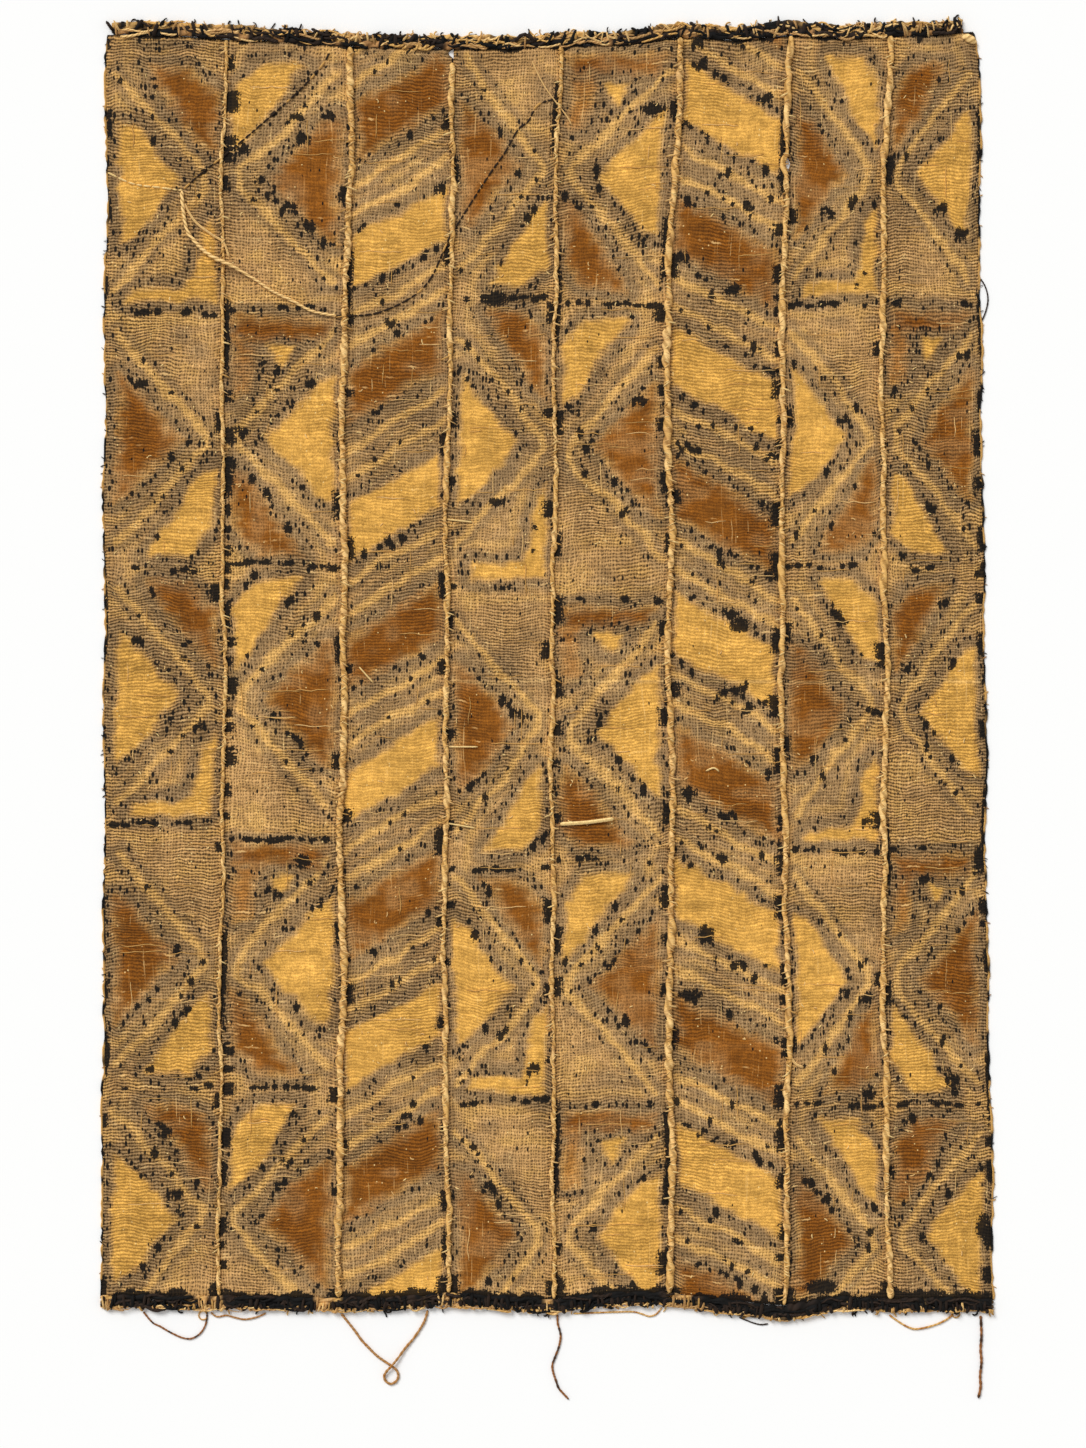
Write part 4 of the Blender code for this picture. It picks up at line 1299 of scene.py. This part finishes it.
def cloth_material():
    """Handwoven cotton: ribs with painted shade in their valleys and painted highlight on their crests,
    open mesh with painted shade in its gaps, mud dots, pale weft yarns and specks.
    """
    n = Nodes("handwoven_cotton")
    x, ribs, seed = n.split(n.attribute("cloth_at").outputs["Vector"])
    dye = n.attribute("dye").outputs["Color"]
    weave = n.attribute("weave")
    parts = n.node("ShaderNodeSeparateColor", (), (("Color", weave.outputs["Color"]),))
    openness, mud, rib_shade_strength = parts.outputs
    solid = weave.outputs["Alpha"]

    wobble = n.noise(n.scaled(x, 0.09, ribs, 0.22, seed), 1.0, 2.0)
    worm = n.noise(n.scaled(x, 0.30, ribs, 0.95, seed, 5.0), 1.0, 2.0, 0.6)
    ribs_here = n.plus(ribs, n.times(n.minus(wobble, 0.5), 0.9))
    ribs_here = n.plus(ribs_here, n.times(n.minus(worm, 0.5), 0.95))
    crest = n.wave(ribs_here)
    row = n.math("ROUND", ribs_here)
    sway = n.noise(n.scaled(x, 0.12, ribs, 0.12, seed), 1.0, 2.0)
    warp_at = n.plus(n.math("DIVIDE", x, 3.4), n.times(sway, 2.6))
    warp_at = n.plus(warp_at, n.times(worm, 1.0))
    warp = n.wave(warp_at)
    grain = n.noise(n.scaled(x, 0.9, ribs, 2.2, seed), 1.0, 3.0, 0.65)
    streak = n.noise(n.scaled(x, 0.028, row, 2.7, seed), 1.0, 2.0, 0.6)
    mottle = n.noise(n.scaled(x, 0.16, ribs, 0.5, seed), 1.0, 3.0, 0.6)
    upright = n.noise(n.scaled(x, 0.5, ribs, 0.045, seed, 3.0), 1.0, 2.0, 0.6)

    # Painted shade in the rib valleys, lighter where a warp yarn crosses over, painted highlight on the
    # crests, and painted shade between the warp yarns; grain, streaks, mottle and upright yarns then vary
    # the tone.
    valley = n.minus(1.0, crest)
    depth = n.plus(0.30, n.times(rib_shade_strength, 0.42))
    depth = n.times(depth, n.plus(0.86, n.times(openness, 0.42)))
    covered = n.times(n.times(warp, openness), n.ramp(rib_shade_strength, 0.3, 0.9, 0.75, 0.05))
    depth = n.times(depth, n.minus(1.0, covered))
    shade = n.minus(1.22, n.times(valley, depth))
    warp_gap_shade = n.times(n.minus(1.0, warp), n.times(openness, 0.20))
    shade = n.minus(shade, warp_gap_shade)
    shade = n.times(shade, n.ramp(grain, 0.25, 0.75, 0.66, 1.30))
    shade = n.times(shade, n.ramp(streak, 0.3, 0.7, 0.84, 1.14))
    shade = n.times(shade, n.ramp(mottle, 0.3, 0.7, 0.86, 1.14))
    shade = n.times(shade, n.ramp(upright, 0.3, 0.7, 0.92, 1.08))
    colour = n.mix(1.0, dye, n.joined(shade, n.math("POWER", shade, 1.06), n.math("POWER", shade, 1.16)),
                   "MULTIPLY")

    # Painted shade in the gaps of the open weave, where a rib valley meets a gap between warp yarns.
    gap_shade = n.times(valley, n.minus(1.0, warp))
    gap_shade = n.times(n.ramp(gap_shade, 0.42, 0.8), n.ramp(openness, 0.35, 0.9))
    gap_shade = n.times(gap_shade, n.ramp(grain, 0.4, 0.6, 0.25, 0.85))
    colour = n.mix(gap_shade, colour, linear("gap_shade"))

    lifted = n.times(n.ramp(streak, 0.66, 0.74), n.ramp(crest, 0.45, 0.8))
    lifted = n.times(lifted, n.ramp(openness, 0.0, 0.5, 0.25, 0.7))
    colour = n.mix(lifted, colour, linear("pale"))
    standing = n.times(n.ramp(upright, 0.64, 0.72), n.ramp(warp, 0.4, 0.8))
    colour = n.mix(n.times(standing, 0.5), colour, linear("pale"))

    distance, chance = n.cells(n.scaled(x, 1 / 4.2, ribs, 3.75 / 9.0, seed), 0.8)
    size = n.times(n.ramp(chance[1], 0.0, 1.0, 0.16, 0.42), n.ramp(mud, 0.1, 0.8, 0.75, 1.15))
    dot = n.ramp(n.minus(size, distance), -0.02, 0.07)
    dot = n.times(dot, n.math("LESS_THAN", chance[0], n.times(mud, 0.78)))
    specks, speck_chance = n.cells(n.scaled(x, 1 / 3.3, ribs, 3.75 / 3.6, seed, 2.0), 1.0)
    speck = n.times(n.ramp(specks, 0.30, 0.16), n.math("LESS_THAN", speck_chance[0], 0.035))
    colour = n.mix(n.times(speck, 0.8), colour, linear("cream"))

    # Solid black: mud, and painted shadow beside the joints and under the top edge yarn, with ragged edges
    # and bare weft yarns across it.
    ragged = n.noise(n.scaled(x, 0.42, ribs, 1.5, seed), 1.0, 2.0, 0.6)
    edge_noise = n.times(n.minus(ragged, 0.5), 1.25)
    edge_noise = n.plus(edge_noise, n.times(n.minus(crest, 0.6), 0.22))
    edge_noise = n.minus(edge_noise, n.times(n.minus(warp, 0.5), 0.16))
    bare = n.noise(n.scaled(x, 0.05, row, 3.1, seed, 7.0), 1.0, 1.0)
    bare = n.times(n.ramp(bare, 0.60, 0.66), n.ramp(crest, 0.45, 0.75))
    solid = n.minus(solid, n.times(bare, 0.5))
    painted = n.ramp(n.plus(solid, edge_noise), 0.48, 0.60)
    black = n.math("MAXIMUM", dot, painted)
    colour = n.mix(n.times(black, 0.96), colour, linear("mud"))
    n.give(n.shader.inputs["Base Color"], colour)
    n.give(n.shader.inputs["Roughness"], n.ramp(grain, 0.2, 0.8, 0.78, 0.95))
    n.shader.inputs["Specular IOR Level"].default_value = 0.15

    height = n.plus(n.times(crest, 0.7), n.times(warp, openness))
    height = n.plus(height, n.times(grain, 0.9))
    height = n.minus(height, n.times(black, 0.5))
    n.bump(height, 0.55, 0.0005)
    return n.material


def yarn_material(name, groove_shade, shine):
    """Spun cotton yarn: each strand's tint, with painted shade in the grooves between strands, a painted
    highlight on the strands, and loose fibres.
    """
    n = Nodes(name)
    along, turn, seed = n.split(n.attribute("yarn_at").outputs["Vector"])
    tint = n.attribute("tint").outputs["Color"]
    fibre = n.noise(n.scaled(along, 0.8, turn, 2.4, seed), 1.0, 3.0, 0.65)
    groove = n.wave(n.plus(turn, n.times(n.minus(fibre, 0.5), 0.2)))
    # Painted shade in the grooves between strands and a painted highlight on the strands, times the
    # fibres' tone.
    shade = n.times(n.ramp(groove, 0.0, 0.55, 1.0 - groove_shade, 1.12),
                    n.ramp(fibre, 0.25, 0.75, 0.8, 1.22))
    colour = n.mix(1.0, tint, n.joined(shade, n.math("POWER", shade, 1.15), n.math("POWER", shade, 1.4)),
                   "MULTIPLY")
    n.give(n.shader.inputs["Base Color"], colour)
    n.give(n.shader.inputs["Roughness"], n.ramp(fibre, 0.2, 0.8, 0.72, 0.92))
    n.shader.inputs["Specular IOR Level"].default_value = shine
    n.bump(n.plus(n.times(groove, 0.6), fibre), 0.6, 0.0004)
    return n.material


def floor_material():
    """The floor: plain, pale and dull."""
    n = Nodes("pale_floor")
    position = n.node("ShaderNodeTexCoord").outputs["Object"]
    grain = n.noise(position, 30.0, 2.0)
    n.give(n.shader.inputs["Base Color"], n.mix(grain, linear("floor") * 0.995, linear("floor")))
    n.shader.inputs["Roughness"].default_value = 0.9
    n.shader.inputs["Specular IOR Level"].default_value = 0.0
    return n.material


def build_floor():
    """A wide floor just under the cloth."""
    mesh = bpy.data.meshes.new("floor")
    corners = [(-1, -1), (1, -1), (1, 1), (-1, 1)]
    points = [(MM * x * FLOOR_HALF, MM * y * FLOOR_HALF, -MM * FLOOR_DROP) for x, y in corners]
    mesh.from_pydata(points, [], [(0, 1, 2, 3)])
    mesh.materials.append(floor_material())
    new_object("floor", mesh)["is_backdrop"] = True


def build_camera():
    """The camera, straight above the cloth."""
    data = bpy.data.cameras.new("camera")
    data.sensor_width = SENSOR
    data.lens = SENSOR * CAMERA_HEIGHT / VIEW_TALL
    data.clip_end = SEES_TO
    camera = new_object("camera", data)
    camera.location = (MM * VIEW_MIDDLE[0], MM * VIEW_MIDDLE[1], MM * CAMERA_HEIGHT)
    bpy.context.scene.camera = camera


def build_lights():
    """An even white room and one wide, soft lamp."""
    world = bpy.data.worlds.new("studio")
    world.use_nodes = True
    world.node_tree.nodes["Background"].inputs[0].default_value = (1.0, 1.0, 1.0, 1.0)
    world.node_tree.nodes["Background"].inputs[1].default_value = ROOM_LIGHT
    bpy.context.scene.world = world
    sun = bpy.data.lights.new("key", "SUN")
    sun.energy = LAMP_LIGHT
    sun.angle = math.radians(LAMP_WIDE)
    lamp = new_object("key", sun)
    lamp.rotation_euler = (*(math.radians(lean) for lean in LAMP_LEAN), 0.0)


def set_view():
    """Colours shown as they are."""
    settings = bpy.context.scene.view_settings
    settings.view_transform = "Standard"
    settings.look = "None"


def write_sizes():
    boxes = {"cad": CAD_BOX, "visual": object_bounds()}
    plain = {name: [list(corner) for corner in box] for name, box in boxes.items()}


build_camera()
build_threads(yarn_material("loose_thread", 0.35, 0.25))
build_lights()
build_floor()
set_view()
cloth = cloth_material()
for strip in range(1, STRIPS + 1):
    build_strip(strip, cloth)
build_seams(yarn_material("joining_yarn", 0.32, 0.2))
edge_finish = yarn_material("edge_yarn", 0.35, 0.2)
build_edging("top", 1, edge_finish)
build_edging("foot", -1, edge_finish)
build_selvedges(yarn_material("selvedge_yarn", 0.3, 0.2))
build_mending(yarn_material("mending_yarn", 0.45, 0.2))
build_face_yarns(yarn_material("face_yarn", 0.25, 0.2))
write_sizes()
